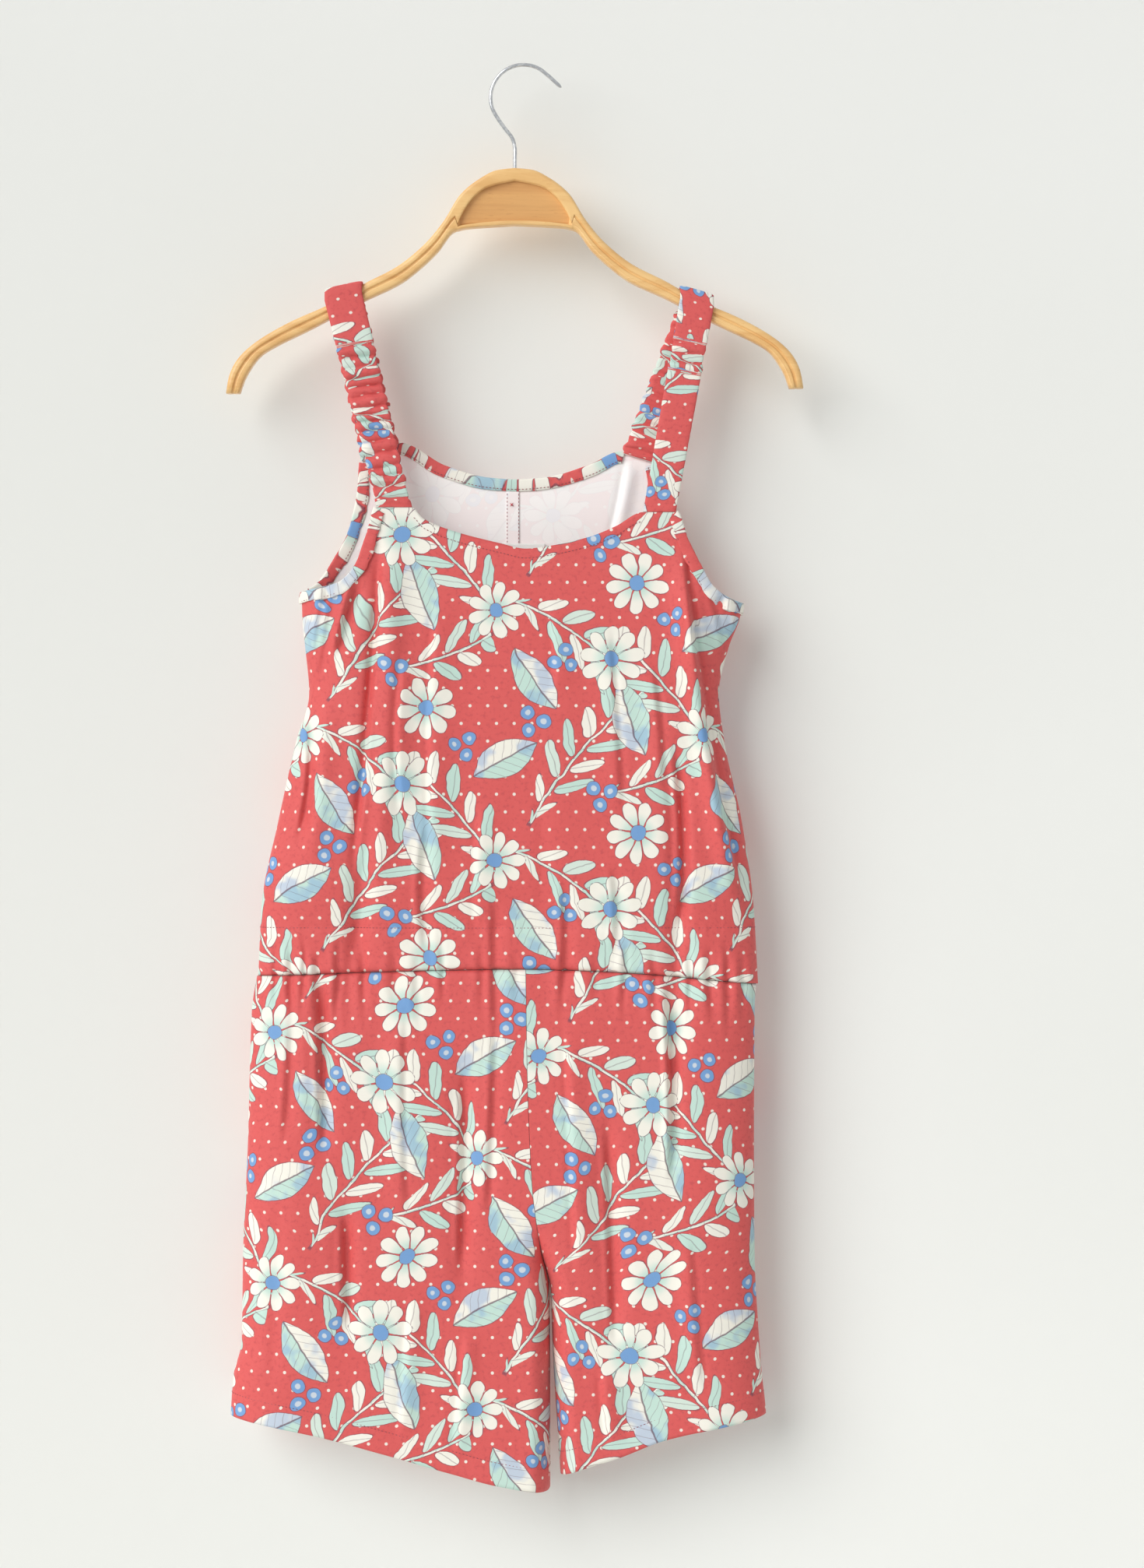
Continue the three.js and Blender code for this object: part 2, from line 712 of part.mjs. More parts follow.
function asGeometry(manifold) {
  const mesh = manifold.getMesh();
  const geometry = new THREE.BufferGeometry();
  geometry.setAttribute("position", new THREE.BufferAttribute(mesh.vertProperties, 3));
  geometry.setIndex(new THREE.BufferAttribute(mesh.triVerts, 1));
  geometry.computeVertexNormals();
  return geometry;
}

// Extrudes an outline drawn in X and Z, centred on the middle plane.
function plate(outline, thickness, hole) {
  const shape = new THREE.Shape(outline);
  if (hole) shape.holes.push(new THREE.Path(hole));
  const geometry = new THREE.ExtrudeGeometry(shape, { depth: thickness, bevelEnabled: false });
  geometry.translate(0, 0, -thickness / 2);
  geometry.rotateX(Math.PI / 2);
  return geometry;
}

function buildHangerFrame() {
  const tip = HANGER_TOP[HANGER_TOP.length - 1].out;
  const underTip = HANGER_UNDER[HANGER_UNDER.length - 1].out;
  const under = spread(-underTip, underTip, 60).map((out) => hangerPoint(HANGER_UNDER, out));
  const top = spread(tip, -tip, 72).map((out) => hangerPoint(HANGER_TOP, out));
  const body = plate([...under, ...top], HANGER.thickness, windowOutline(0));
  const bore = new THREE.CylinderGeometry(HOOK.wire / 2 + HOOK.play, HOOK.wire / 2 + HOOK.play, 12, 12);
  bore.rotateX(Math.PI / 2);
  bore.translate(HOOK.stem, 0, 6 - HANGER_TOP[0].drop - HOOK.socket);
  return named("hanger_frame", asGeometry(asManifold(body).subtract(asManifold(bore))), BEECH, 0.45, 0);
}

function buildHangerPanel() {
  const geometry = plate(windowOutline(SEAM_GAP), HANGER.panel);
  return named("hanger_panel", mergeVertices(geometry), PANEL_WOOD, 0.55, 0);
}

function buildHook() {
  const centre = -(HOOK.radius - HOOK.wire / 2);
  const onArc = (degrees) => {
    const angle = THREE.MathUtils.degToRad(degrees);
    return new THREE.Vector3(HOOK.radius * Math.cos(angle), 0, centre + HOOK.radius * Math.sin(angle));
  };
  const route = [new THREE.Vector3(28, 0, -15.5)];
  for (let degrees = 45; degrees <= 215; degrees += 17) route.push(onArc(degrees));
  route.push(new THREE.Vector3(-14, 0, -45.6));
  route.push(new THREE.Vector3(-8.4, 0, -53));
  route.push(new THREE.Vector3(HOOK.stem, 0, -60));
  route.push(new THREE.Vector3(HOOK.stem, 0, HOOK.play - HANGER_TOP[0].drop - HOOK.socket));
  const section = new THREE.Shape();
  section.absarc(0, 0, HOOK.wire / 2, 0, Math.PI * 2);
  const geometry = new THREE.ExtrudeGeometry(section, {
    steps: 56,
    curveSegments: 4,
    extrudePath: new THREE.CatmullRomCurve3(route, false, "centripetal"),
  });
  return named("hook", geometry, STEEL, 0.2, 1);
}

// ---- the whole part ------------------------------------------------------------------------
const romper = new THREE.Group();
romper.name = "romper_on_hanger";
romper.add(buildHangerFrame(), buildHangerPanel(), buildHook());
romper.add(frontBodice.build(), backBodiceLeft.build(), backBodiceRight.build());
romper.add(...legs.map((panel) => panel.build()));
romper.add(...STRAPS.map(buildStrap));
romper.add(...bindings, buildLabel());

export default romper;
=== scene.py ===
import math

import bpy
import numpy as np
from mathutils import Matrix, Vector


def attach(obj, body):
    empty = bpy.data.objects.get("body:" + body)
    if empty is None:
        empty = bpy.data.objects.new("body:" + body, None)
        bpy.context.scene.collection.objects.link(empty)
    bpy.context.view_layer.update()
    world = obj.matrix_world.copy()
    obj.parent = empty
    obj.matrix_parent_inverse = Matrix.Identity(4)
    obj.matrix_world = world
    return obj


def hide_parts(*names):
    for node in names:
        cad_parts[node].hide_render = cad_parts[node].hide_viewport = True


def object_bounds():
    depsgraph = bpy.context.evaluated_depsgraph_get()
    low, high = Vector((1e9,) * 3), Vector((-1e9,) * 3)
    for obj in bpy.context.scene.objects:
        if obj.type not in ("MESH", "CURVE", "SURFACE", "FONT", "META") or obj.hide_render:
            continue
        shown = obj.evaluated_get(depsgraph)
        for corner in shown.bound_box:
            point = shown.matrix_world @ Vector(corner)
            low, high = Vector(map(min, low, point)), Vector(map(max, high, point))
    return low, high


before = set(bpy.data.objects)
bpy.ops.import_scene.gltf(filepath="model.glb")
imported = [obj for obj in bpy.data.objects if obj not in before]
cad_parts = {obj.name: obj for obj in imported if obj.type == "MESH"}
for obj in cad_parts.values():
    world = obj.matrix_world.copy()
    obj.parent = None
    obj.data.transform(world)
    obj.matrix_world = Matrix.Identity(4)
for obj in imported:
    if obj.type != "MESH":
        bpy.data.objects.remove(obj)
CAD_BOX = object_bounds()

bl_info = {
    "name": "Romper on a hanger",
    "version": (1, 0, 0),
    "blender": (4, 5, 0),
    "location": "3D View > Sidebar > Romper",
    "description": "Builds the cloth, hanger and studio of a sleeveless printed romper",
    "category": "Object",
}

# Tables are in millimetres. A drop is a distance below the inside of the hook's crown.
MM = 0.001


class Table:
    """Rows with named columns, read on a curve that never overshoots its rows."""

    def __init__(self, columns, *rows):
        names = columns.split()
        self.columns = {name: np.array([row[i] for row in rows], float) for i, name in enumerate(names)}
        self.keys = self.columns[names[0]]

    def read(self, column, at):
        keys, values = self.keys, self.columns[column]
        at = np.clip(np.asarray(at, float), keys[0], keys[-1])
        if len(keys) == 2:
            return np.interp(at, keys, values)
        row = np.clip(np.searchsorted(keys, at, side="right") - 1, 0, len(keys) - 2)
        steps = np.diff(keys)
        slopes = np.diff(values) / steps
        before, after = slopes[:-1], slopes[1:]
        agree = before * after > 0
        inner = np.where(agree, 2 * before * after / np.where(agree, before + after, 1), 0)
        tangents = np.concatenate([slopes[:1], inner, slopes[-1:]])
        t = (at - keys[row]) / steps[row]
        bend = t * t * (3 - 2 * t)
        lead = t * (1 - t) ** 2 * tangents[row]
        trail = t * t * (1 - t) * tangents[row + 1]
        curve = values[row] + (values[row + 1] - values[row]) * bend + steps[row] * (lead - trail)
        if "straight" not in self.columns:
            return curve
        line = values[row] + (values[row + 1] - values[row]) * t
        return np.where(self.columns["straight"][row] > 0, line, curve)


# ---- sizes of the garment ------------------------------------------------------------------
BODICE_SIDES = Table(
    "drop left right",
    (391, -164.5, 164),
    (411, -164, 160),
    (430, -162, 152.5),
    (465, -159, 145),
    (500, -168.5, 149),
    (560, -182, 162),
    (620, -194, 170.5),
    (680, -197, 174),
)
LEG_SIDES = Table(
    "drop left right",
    (668, -196.5, 173.5),
    (700, -201.5, 171.5),
    (800, -204.5, 171),
    (880, -208, 171.5),
    (945, -209, 175),
    (970, -215, 177),
    (1000, -217, 180),
    (1053, -217.5, 181),
)
LEG_INSIDE = Table(
    "drop left right",
    (668, 1.9, 1.9),
    (741, 3, 3),
    (825, 6.5, 6.5),
    (875, 13, 13),
    (905, 19.5, 19.5),
    (960, 20, 22),
    (1053, 20, 28),
)
DEPTHS = Table(
    "drop front back",
    (160, 9.6, 9.6),
    (285, 12.4, 12.2),
    (328, 13.5, 13),
    (391, 19, 16),
    (480, 24, 18),
    (600, 25, 19),
    (640, 21.5, 17),
    (669, 20.5, 16),
    (720, 23, 18),
    (850, 25, 19),
    (1053, 26, 21),
)
FRONT_TOP = Table(
    "x drop straight",
    (-164.5, 391, 0),
    (-137, 385, 0),
    (-123, 371, 0),
    (-114, 346, 0),
    (-108.5, 328, 1),
    (-82, 328, 0),
    (-74, 336, 0),
    (-53, 345, 0),
    (-17, 354.5, 0),
    (2, 358.5, 0),
    (16, 357, 0),
    (48, 350, 0),
    (68, 342, 0),
    (88.4, 331.5, 1),
    (112.7, 331.5, 0),
    (121, 353, 0),
    (130, 371, 0),
    (139.5, 387, 0),
    (151.5, 396, 0),
    (164, 400, 0),
)
BACK_TOP = Table(
    "x drop straight",
    (-164.5, 391, 0),
    (-154, 384, 0),
    (-141, 365.6, 0),
    (-130.5, 346, 0),
    (-123, 316, 0),
    (-121, 292, 1),
    (-93, 279, 0),
    (-59, 296, 0),
    (-27, 305, 0),
    (-5.5, 306.5, 0),
    (16, 305, 0),
    (48, 296, 0),
    (73, 285.5, 1),
    (98, 293, 0),
    (102, 318, 0),
    (113, 346, 0),
    (128, 370, 0),
    (146, 393, 0),
    (164, 400, 0),
)
WAIST = Table("x drop", (-197, 674), (-60, 669.5), (0, 668.7), (60, 670.5), (174, 680))
HEM = Table(
    "x drop",
    (-217.5, 999),
    (-154, 1011),
    (-109, 1022.6),
    (-55, 1038),
    (-17, 1048),
    (18, 1053),
    (28, 1042),
    (71, 1027),
    (105, 1014),
    (164, 1001.6),
    (181, 997.6),
)
SEAM_GAP = 0.3
CLOTH = 0.7
STRAP_THICKNESS = 2.2
STRAP_REACH = 9.6
STRAP_CROWN_SHARE = 0.3125
STRAP_SQUARENESS = 0.34
SIDE_ROUND = {("front", "left"): 53.5, ("front", "right"): 49, ("back", "left"): 42, ("back", "right"): 64}
INSEAM_ROUND = 15
CROTCH_START = 850
CROTCH_END = 905
CROTCH_SHARE = 2 / 3
BACK_CENTRE_X = -8
CASING_TOP = 638  # drop of the stitch line above the waist seam
HEM_DEPTH = 17
BACK_HEM_DIP = 4.5
BACK_HEM_X = -36

# Folds: head and foot drops, the x of head, middle and foot, how far the fold stands out (or in,
# below 0), and its width to the left and right of its line.
FOLDS = {
    "front": Table(
        "head headX middleX foot footX rise left right",
        (340, -104, -113, 730, -131, -6, 8, 8),
        (332, -95, -100, 640, -116, 4, 10, 10),
        (455, -148, -150, 600, -158, 4, 9, 9),
        (372, 119, 137, 640, 163, 5, 9, 9),
        (418, 131, 147, 640, 166, -6, 8, 8),
        (490, 109, 114, 770, 110, -5, 7, 7),
        (675, -148, -148, 815, -146, -4, 8, 8),
        (830, -130, -130, 950, -128, -4, 8, 8),
        (715, -43, -44, 925, -45, -4, 9, 9),
        (760, 60, 64, 960, 68, -3.5, 9, 9),
        # finer creases
        (385, 148, 156, 436, 158, 1.7, 2, 5),
        (390, 138, 148, 450, 152, -1.4, 2, 4),
        (380, -148, -154, 446, -158, 1.6, 4, 2),
        (388, -139, -145, 460, -150, -1.3, 2, 4),
        (346, -101, -110, 610, -123, 3.6, 2.0, 9),
        (380, -121, -130, 440, -137, -3.2, 1.8, 6),
        (465, -160, -157, 580, -167, -3, 1.8, 6),
        (345, 115, 134, 640, 165, 5.0, 9, 1.5),
        (500, 112, 118, 645, 115, -3.2, 1.6, 4),
        (410, 60, 66, 560, 70, 1.2, 9, 3),
        (380, -60, -66, 620, -62, 1.3, 4, 11),
        (520, 10, 14, 640, 12, -1, 5, 8),
        (540, -28, -32, 650, -30, 1.1, 4, 9),
        (590, 66, 70, 660, 68, -1.3, 3, 6),
        (690, -90, -92, 860, -88, 1.4, 10, 4),
        (700, 34, 38, 900, 42, 1.5, 4, 9),
        (672, 106, 110, 830, 110, -3.4, 1.6, 5),
        (860, 120, 124, 985, 130, 1.5, 8, 4),
        (820, -180, -182, 990, -186, -1.6, 5, 6),
        (900, -80, -84, 1020, -90, 1.5, 4, 8),
        (700, -170, -172, 800, -176, -1.6, 2, 6),
        (668, -148, -148, 805, -146, -2.6, 1.5, 4),
        (845, -130, -130, 935, -128, -2.4, 1.5, 4),
        (740, -43, -44, 900, -45, -2.2, 1.6, 4),
        (700, -20, -22, 860, -26, -1.4, 2, 5),
        (770, 62, 65, 950, 68, -1.8, 2, 5),
        (560, -70, -74, 660, -70, -1.6, 2, 5),
        (600, 30, 32, 690, 30, -1.4, 2, 5),
        (610, -20, -21, 720, -19, -1.3, 2, 5),
        (430, -84, -90, 560, -86, 1.6, 3, 9),
        (395, 20, 26, 470, 24, 0.9, 4, 9),
        (440, 92, 98, 540, 100, 1.5, 8, 3),
        (960, 60, 62, 1020, 66, 1.4, 3, 8),
        (930, -40, -44, 1030, -48, 1.6, 3, 8),
    ),
    "back": Table(
        "head headX middleX foot footX rise left right",
        (330, -104, -114, 660, -128, -5, 10, 10),
        (330, 95, 108, 650, 124, -5, 10, 10),
        (460, -40, -44, 800, -50, 3.5, 12, 12),
        (560, 52, 58, 900, 66, -3.5, 11, 11),
        (720, -120, -122, 960, -126, -4, 10, 10),
        (288, 80, 74, 362, 64, -1.8, 3, 6),
        (390, -70, -76, 600, -84, 1.6, 4, 10),
        (420, 60, 62, 610, 54, -1.6, 3, 7),
        (520, 130, 136, 650, 148, 1.8, 8, 3),
        (700, 20, 26, 880, 30, 1.5, 4, 9),
        (760, 110, 114, 980, 120, -1.8, 4, 7),
        (690, -170, -174, 900, -180, 1.5, 8, 4),
        (880, -60, -64, 1010, -70, -1.5, 4, 8),
    ),
}


def ease(value):
    value = np.clip(value, 0, 1)
    return value * value * (3 - 2 * value)


def mix(a, b, share):
    return a + (b - a) * share


def wander(x, seed):
    """A smooth uneven wave between about -1 and 1, different for each seed."""
    rates = (1.0, 2.3, 4.1, 6.7)
    turns = (0.7, 2.9, 5.1, 1.3)
    total = sum(np.sin(x * rate + turn * (seed + 1)) / (1 + i) for i, (rate, turn) in enumerate(zip(rates, turns)))
    return total / 1.8


CREASE_GAIN = 1.8  # how much deeper a sharp-sided crease is modelled than its table says
STEEP_SIDE = 2.5  # least width of a crease's steep side


def fold_relief(face, x, drop):
    table = FOLDS[face].columns
    total = np.zeros(np.broadcast(x, drop).shape)
    for i in range(len(table["head"])):
        row = {name: values[i] for name, values in table.items()}
        share = np.clip((drop - row["head"]) / (row["foot"] - row["head"]), 0, 1)
        bow = row["middleX"] - mix(row["headX"], row["footX"], 0.5)
        path = mix(row["headX"], row["footX"], share) + 4 * share * (1 - share) * bow
        strength = ease(share / 0.25) * ease((1 - share) / 0.25)
        width = np.maximum(np.where(x < path, row["left"], row["right"]), STEEP_SIDE)
        sharp = min(row["left"], row["right"]) < 5
        rise = row["rise"] * (CREASE_GAIN if sharp else 1)
        total += rise * strength * np.exp(-(((x - path) / width) ** 2))
        if sharp:
            steep = path + (2 if row["right"] < row["left"] else -2) * STEEP_SIDE
            total -= 0.4 * rise * strength * np.exp(-(((x - steep) / STEEP_SIDE) ** 2))
    return total


# Gathers on both sides of the waist seam: x, how far each reaches up and down, and its width.
GATHERS = {
    "front": Table(
        "x up down rise width",
        (-188, 34, 30, 1.6, 3.0),
        (-177, 30, 46, 2.0, 3.4),
        (-166, 36, 34, 1.4, 2.6),
        (-157, 22, 52, 1.9, 3.6),
        (-141, 40, 60, 1.3, 3.2),
        (-122, 26, 44, 1.7, 3.8),
        (-101, 30, 38, 0.9, 4.4),
        (-83, 20, 58, 0.8, 4.0),
        (-64, 34, 30, 1.1, 3.0),
        (-36, 24, 40, 0.8, 3.6),
        (-12, 18, 34, 0.7, 4.0),
        (24, 28, 46, 1.0, 3.2),
        (47, 20, 36, 0.7, 4.2),
        (71, 34, 42, 1.2, 3.0),
        (92, 26, 56, 1.0, 3.6),
        (119, 38, 44, 1.6, 3.0),
        (133, 30, 40, 1.9, 3.4),
        (146, 36, 52, 1.5, 2.8),
        (157, 28, 38, 2.0, 3.2),
        (167, 34, 30, 1.5, 2.4),
    ),
    "back": Table(
        "x up down rise width",
        (-185, 30, 40, 1.7, 3.0),
        (-170, 36, 30, 1.5, 3.4),
        (-149, 24, 52, 1.8, 3.0),
        (-131, 34, 36, 1.2, 3.8),
        (-112, 28, 48, 1.6, 3.2),
        (-90, 38, 40, 1.9, 3.6),
        (-71, 24, 56, 1.2, 3.0),
        (-52, 34, 36, 1.7, 3.4),
        (-31, 28, 44, 1.4, 3.0),
        (-14, 36, 32, 1.1, 3.6),
        (8, 26, 50, 1.6, 3.0),
        (27, 34, 38, 1.8, 3.4),
        (46, 24, 46, 1.3, 3.8),
        (66, 36, 32, 1.7, 3.0),
        (88, 28, 54, 1.4, 3.4),
        (107, 34, 38, 1.9, 3.0),
        (127, 24, 44, 1.5, 3.6),
        (148, 36, 34, 1.8, 3.0),
        (163, 28, 42, 1.4, 2.6),
    ),
}


def gather_relief(face, x, drop):
    """Upright tucks that start at the waist seam and die away above and below it."""
    seam = WAIST.read("drop", x)
    away = drop - seam
    total = np.zeros(np.broadcast(x, drop).shape)
    columns = GATHERS[face].columns
    for i in range(len(columns["x"])):
        reach = np.where(away < 0, columns["up"][i], columns["down"][i])
        fade = ease(1 - np.abs(away) / reach)
        path = columns["x"][i] + 1.5 * wander(away / 30, i)
        width = columns["width"][i]
        ridge = np.exp(-(((x - path) / width) ** 2))
        crease = np.exp(-(((x - path - 1.5 * width) / (0.7 * width)) ** 2))
        total += 1.5 * columns["rise"][i] * fade * (ridge - 0.9 * crease)
    return total


def cloth_relief(face, x, drop):
    """Every fold, gather and low undulation of one face, outwards."""
    relief = fold_relief(face, x, drop)
    waist = gather_relief(face, x, drop)
    side = 1 if face == "front" else 2
    below_edge = ease((drop - 380) / 60)
    slow = 0.8 * wander(x / 46 + 0.3 * np.sin(drop / 70), side) * below_edge
    slow += 0.4 * wander(drop / 60 + x / 90, side + 3) * below_edge
    slow += 0.3 * wander(x / 12 + 0.5 * wander(drop / 55, side), side + 6) * wander(drop / 45 + x / 30, side) * below_edge
    seam = WAIST.read("drop", x)
    casing = 1.0 * ease((drop - CASING_TOP + 1) / 2) * ease((seam - drop) / 2)
    pucker = 0.35 * wander(x / 2.8, side + 4) * np.exp(-(((drop - CASING_TOP) / 5) ** 2))
    return relief + waist + slow + casing + pucker


# ---- meshes --------------------------------------------------------------------------------
def unit(vectors):
    return vectors / np.maximum(np.linalg.norm(vectors, axis=-1, keepdims=True), 1e-12)


def grid_normals(points):
    """Unit normals of a grid of points: down its columns crossed with along its rows."""
    down = np.gradient(points, axis=0)
    along = np.gradient(points, axis=1)
    return unit(np.cross(down, along))


def new_object(name, points, quads, materials, uv=None, indices=None, smooth=True):
    """A mesh object from points in millimetres, its faces and the flat place of each point."""
    mesh = bpy.data.meshes.new(name)
    mesh.from_pydata([tuple(p) for p in (np.asarray(points) * MM).tolist()], [], [tuple(q) for q in quads])
    mesh.validate()
    for material in materials:
        mesh.materials.append(material)
    if indices is not None:
        mesh.polygons.foreach_set("material_index", np.asarray(indices, np.int32))
    mesh.polygons.foreach_set("use_smooth", np.full(len(mesh.polygons), smooth))
    if uv is not None:
        layer = mesh.uv_layers.new(name="Cloth")
        corners = np.zeros(len(mesh.loops), np.int32)
        mesh.loops.foreach_get("vertex_index", corners)
        layer.data.foreach_set("uv", (np.asarray(uv)[corners] * MM).astype(np.float32).ravel())
    mesh.update()
    piece = bpy.data.objects.new(name, mesh)
    bpy.context.scene.collection.objects.link(piece)
    return piece


def grid_faces(rows, columns, start=0, flip=False):
    r, c = np.meshgrid(np.arange(rows - 1), np.arange(columns - 1), indexing="ij")
    a = (r * columns + c).ravel() + start
    quads = np.stack([a, a + columns, a + columns + 1, a + 1], -1)
    return quads[:, ::-1] if flip else quads


def shell(name, outer, thickness, flat, materials, flip):
    """A closed cloth from its outer skin: a grid of points, its thickness and its flat places.
    Material 0 covers the outside and the rim, material 1 the inside."""
    rows, columns = outer.shape[:2]
    normals = grid_normals(outer) * (-1 if flip else 1)
    inner = outer - normals * np.broadcast_to(thickness, outer.shape[:2])[..., None]
    count = rows * columns
    points = np.concatenate([outer.reshape(-1, 3), inner.reshape(-1, 3)])
    outside = grid_faces(rows, columns, 0, flip)
    inside = grid_faces(rows, columns, count, not flip)
    rim = np.concatenate(
        [
            np.arange(columns - 1),
            np.arange(rows - 1) * columns + columns - 1,
            (rows - 1) * columns + np.arange(columns - 1, 0, -1),
            np.arange(rows - 1, 0, -1) * columns,
        ]
    )
    following = np.roll(rim, -1)
    edge = np.stack([rim, following, following + count, rim + count], -1)
    edge = edge[:, ::-1] if flip else edge
    quads = np.concatenate([outside, inside, edge])
    indices = np.concatenate([np.zeros(len(outside)), np.ones(len(inside)), np.zeros(len(edge))])
    flats = np.concatenate([flat.reshape(-1, 2)] * 2)
    return new_object(name, points, quads.tolist(), materials, flats, indices)


def sweep_tube(name, sections, flat, materials):
    """A closed body through rings of points, with both ends filled."""
    rings, size = sections.shape[:2]
    r, i = np.meshgrid(np.arange(rings - 1), np.arange(size), indexing="ij")
    a = (r * size + i).ravel()
    b = (r * size + (i + 1) % size).ravel()
    quads = np.stack([a, b, b + size, a + size], -1).tolist()
    quads.append(list(range(size))[::-1])
    quads.append([(rings - 1) * size + i for i in range(size)])
    return new_object(name, sections.reshape(-1, 3), quads, materials, flat)


def face_outwards(piece):
    """Turns every face to point out of its closed body."""
    import bmesh

    work = bmesh.new()
    work.from_mesh(piece.data)
    bmesh.ops.recalc_face_normals(work, faces=work.faces)
    work.to_mesh(piece.data)
    work.free()
    return piece


class Panel:
    """A cut piece of cloth. It runs across from its left edge (0) to its right one (1); an edge
    that closes on the other face rounds back to the middle plane over its round."""

    def __init__(self, name, face, left, right, top, foot, columns, corner, **options):
        self.name, self.face, self.left, self.right, self.top_edge, self.foot_edge = (
            name,
            face,
            left,
            right,
            top,
            foot,
        )
        self.round_left = options.get("round_left", 0)
        self.round_right = options.get("round_right", 0)
        self.closes_left = options.get("closes_left", lambda drop: 1.0)
        self.closes_right = options.get("closes_right", lambda drop: 1.0)
        self.corner_left = corner / columns if self.round_left else 0
        self.corner_right = corner / columns if self.round_right else 0
        self.crotch = options.get("crotch", False)
        self.foot_gap = options.get("foot_gap", 0)
        self.flat_shift = options.get("flat_shift", (0, 0))
        self.towards = -1 if face == "front" else 1

    def place(self, across, drop):
        """x and how far the skin is lifted off the middle plane, as a share of its depth."""
        across, drop = np.broadcast_arrays(np.asarray(across, float), np.asarray(drop, float))
        left, right = self.left(drop), self.right(drop)
        middle = 1 - self.corner_left - self.corner_right
        share = (across - self.corner_left) / middle
        x = mix(left + self.round_left, right - self.round_right, share)
        lift = np.ones(x.shape)
        if self.round_left:
            angle = np.clip(across / self.corner_left, 0, 1) * math.pi / 2
            near = across < self.corner_left
            x = np.where(near, left + self.round_left * (1 - np.cos(angle)), x)
            lift = np.where(near, mix(1, np.sin(angle), self.closes_left(drop)), lift)
        if self.round_right:
            angle = np.clip((1 - across) / self.corner_right, 0, 1) * math.pi / 2
            near = across > 1 - self.corner_right
            x = np.where(near, right - self.round_right * (1 - np.cos(angle)), x)
            lift = np.where(near, mix(1, np.sin(angle), self.closes_right(drop)), lift)
        return x, lift

    def skin(self, across, drop, extra=0):
        x, lift = self.place(across, drop)
        depth = DEPTHS.read(self.face, drop) + cloth_relief(self.face, x, drop) + extra
        y = self.towards * (SEAM_GAP / 2 + lift * depth)
        return np.stack(np.broadcast_arrays(x, y, -np.asarray(drop, float)), -1)

    def edge(self, table, across):
        drop = np.full(np.shape(across), table.columns["drop"][0])
        for _ in range(24):
            drop = table.read("drop", self.place(across, drop)[0])
        return drop

    def top(self, across):
        return self.edge(self.top_edge, across)

    def foot(self, across):
        drop = self.edge(self.foot_edge, across) - self.foot_gap
        if self.face == "back" and self.foot_edge is HEM:
            drop = drop + BACK_HEM_DIP * np.exp(-(((self.place(across, drop)[0] - BACK_HEM_X) / 16) ** 2))
        return drop

    def drops(self, across, share):
        top, foot = self.top(across), self.foot(across)
        if not self.crotch:
            return mix(top, foot, share)
        upper = mix(top, CROTCH_END, share / CROTCH_SHARE)
        lower = mix(CROTCH_END, foot, (share - CROTCH_SHARE) / (1 - CROTCH_SHARE))
        return np.where(share < CROTCH_SHARE, upper, lower)

    def build(self, rows, columns, materials):
        share = np.linspace(0, 1, rows)
        if self.crotch:
            upper = round(rows * CROTCH_SHARE)
            share = np.concatenate(
                [np.linspace(0, CROTCH_SHARE, upper, endpoint=False), np.linspace(CROTCH_SHARE, 1, rows - upper)]
            )
        across = np.linspace(0, 1, columns)[None, :]
        drop = self.drops(np.broadcast_to(across, (rows, columns)), share[:, None])
        x, lift = self.place(across, drop)
        turned = self.edge_relief(across, drop)
        points = self.skin(across, drop, turned)
        return shell(self.name, points, sizes().cloth / MM, self.flat(points), materials, self.face == "back")

    def edge_relief(self, across, drop):
        """The turned edge along a neckline or hem, and the roll into the waist seam."""
        return self.edge_relief_from(drop, drop - self.top(across[0])[None, :], self.foot(across[0])[None, :] - drop)

    def edge_relief_at(self, across, drop):
        return self.edge_relief_from(drop, drop - self.top(across), self.foot(across) - drop)

    def edge_relief_from(self, drop, from_top, from_foot):
        relief = np.zeros(drop.shape)
        if self.top_edge is WAIST:
            relief -= 1.6 * np.exp(-((from_top / 1.6) ** 2))
            relief += 0.45 * ease((HEM_DEPTH - from_foot) / 0.8)
            relief -= 0.35 * np.exp(-(((from_foot - HEM_DEPTH - 0.6) / 1.1) ** 2))
        else:
            relief -= 1.8 * np.exp(-((from_foot / 1.6) ** 2))
            relief += 0.5 * ease((7.5 - from_top) / 0.8)
            relief -= 0.8 * np.exp(-(((drop - CASING_TOP) / 1.4) ** 2))
        return relief

    def flat(self, points):
        """Flat place of each point: the distance along its row from the middle, and its drop."""
        steps = np.linalg.norm(np.diff(points[..., :2], axis=1), axis=-1)
        along = np.concatenate([np.zeros((len(points), 1)), np.cumsum(steps, axis=1)], axis=1)
        start = np.argmin(np.abs(points[..., 0]), axis=1)
        rows = np.arange(len(points))
        along = along - along[rows, start][:, None] + points[rows, start, 0][:, None]
        u = along * (1 if self.face == "front" else -1) + self.flat_shift[0]
        return np.stack([u, points[..., 2] + self.flat_shift[1]], -1)


def below_crotch(drop):
    return ease((drop - CROTCH_START) / (CROTCH_END - CROTCH_START))


def side_of(table, side, gap=0.0):
    return lambda drop: table.read(side, drop) + gap


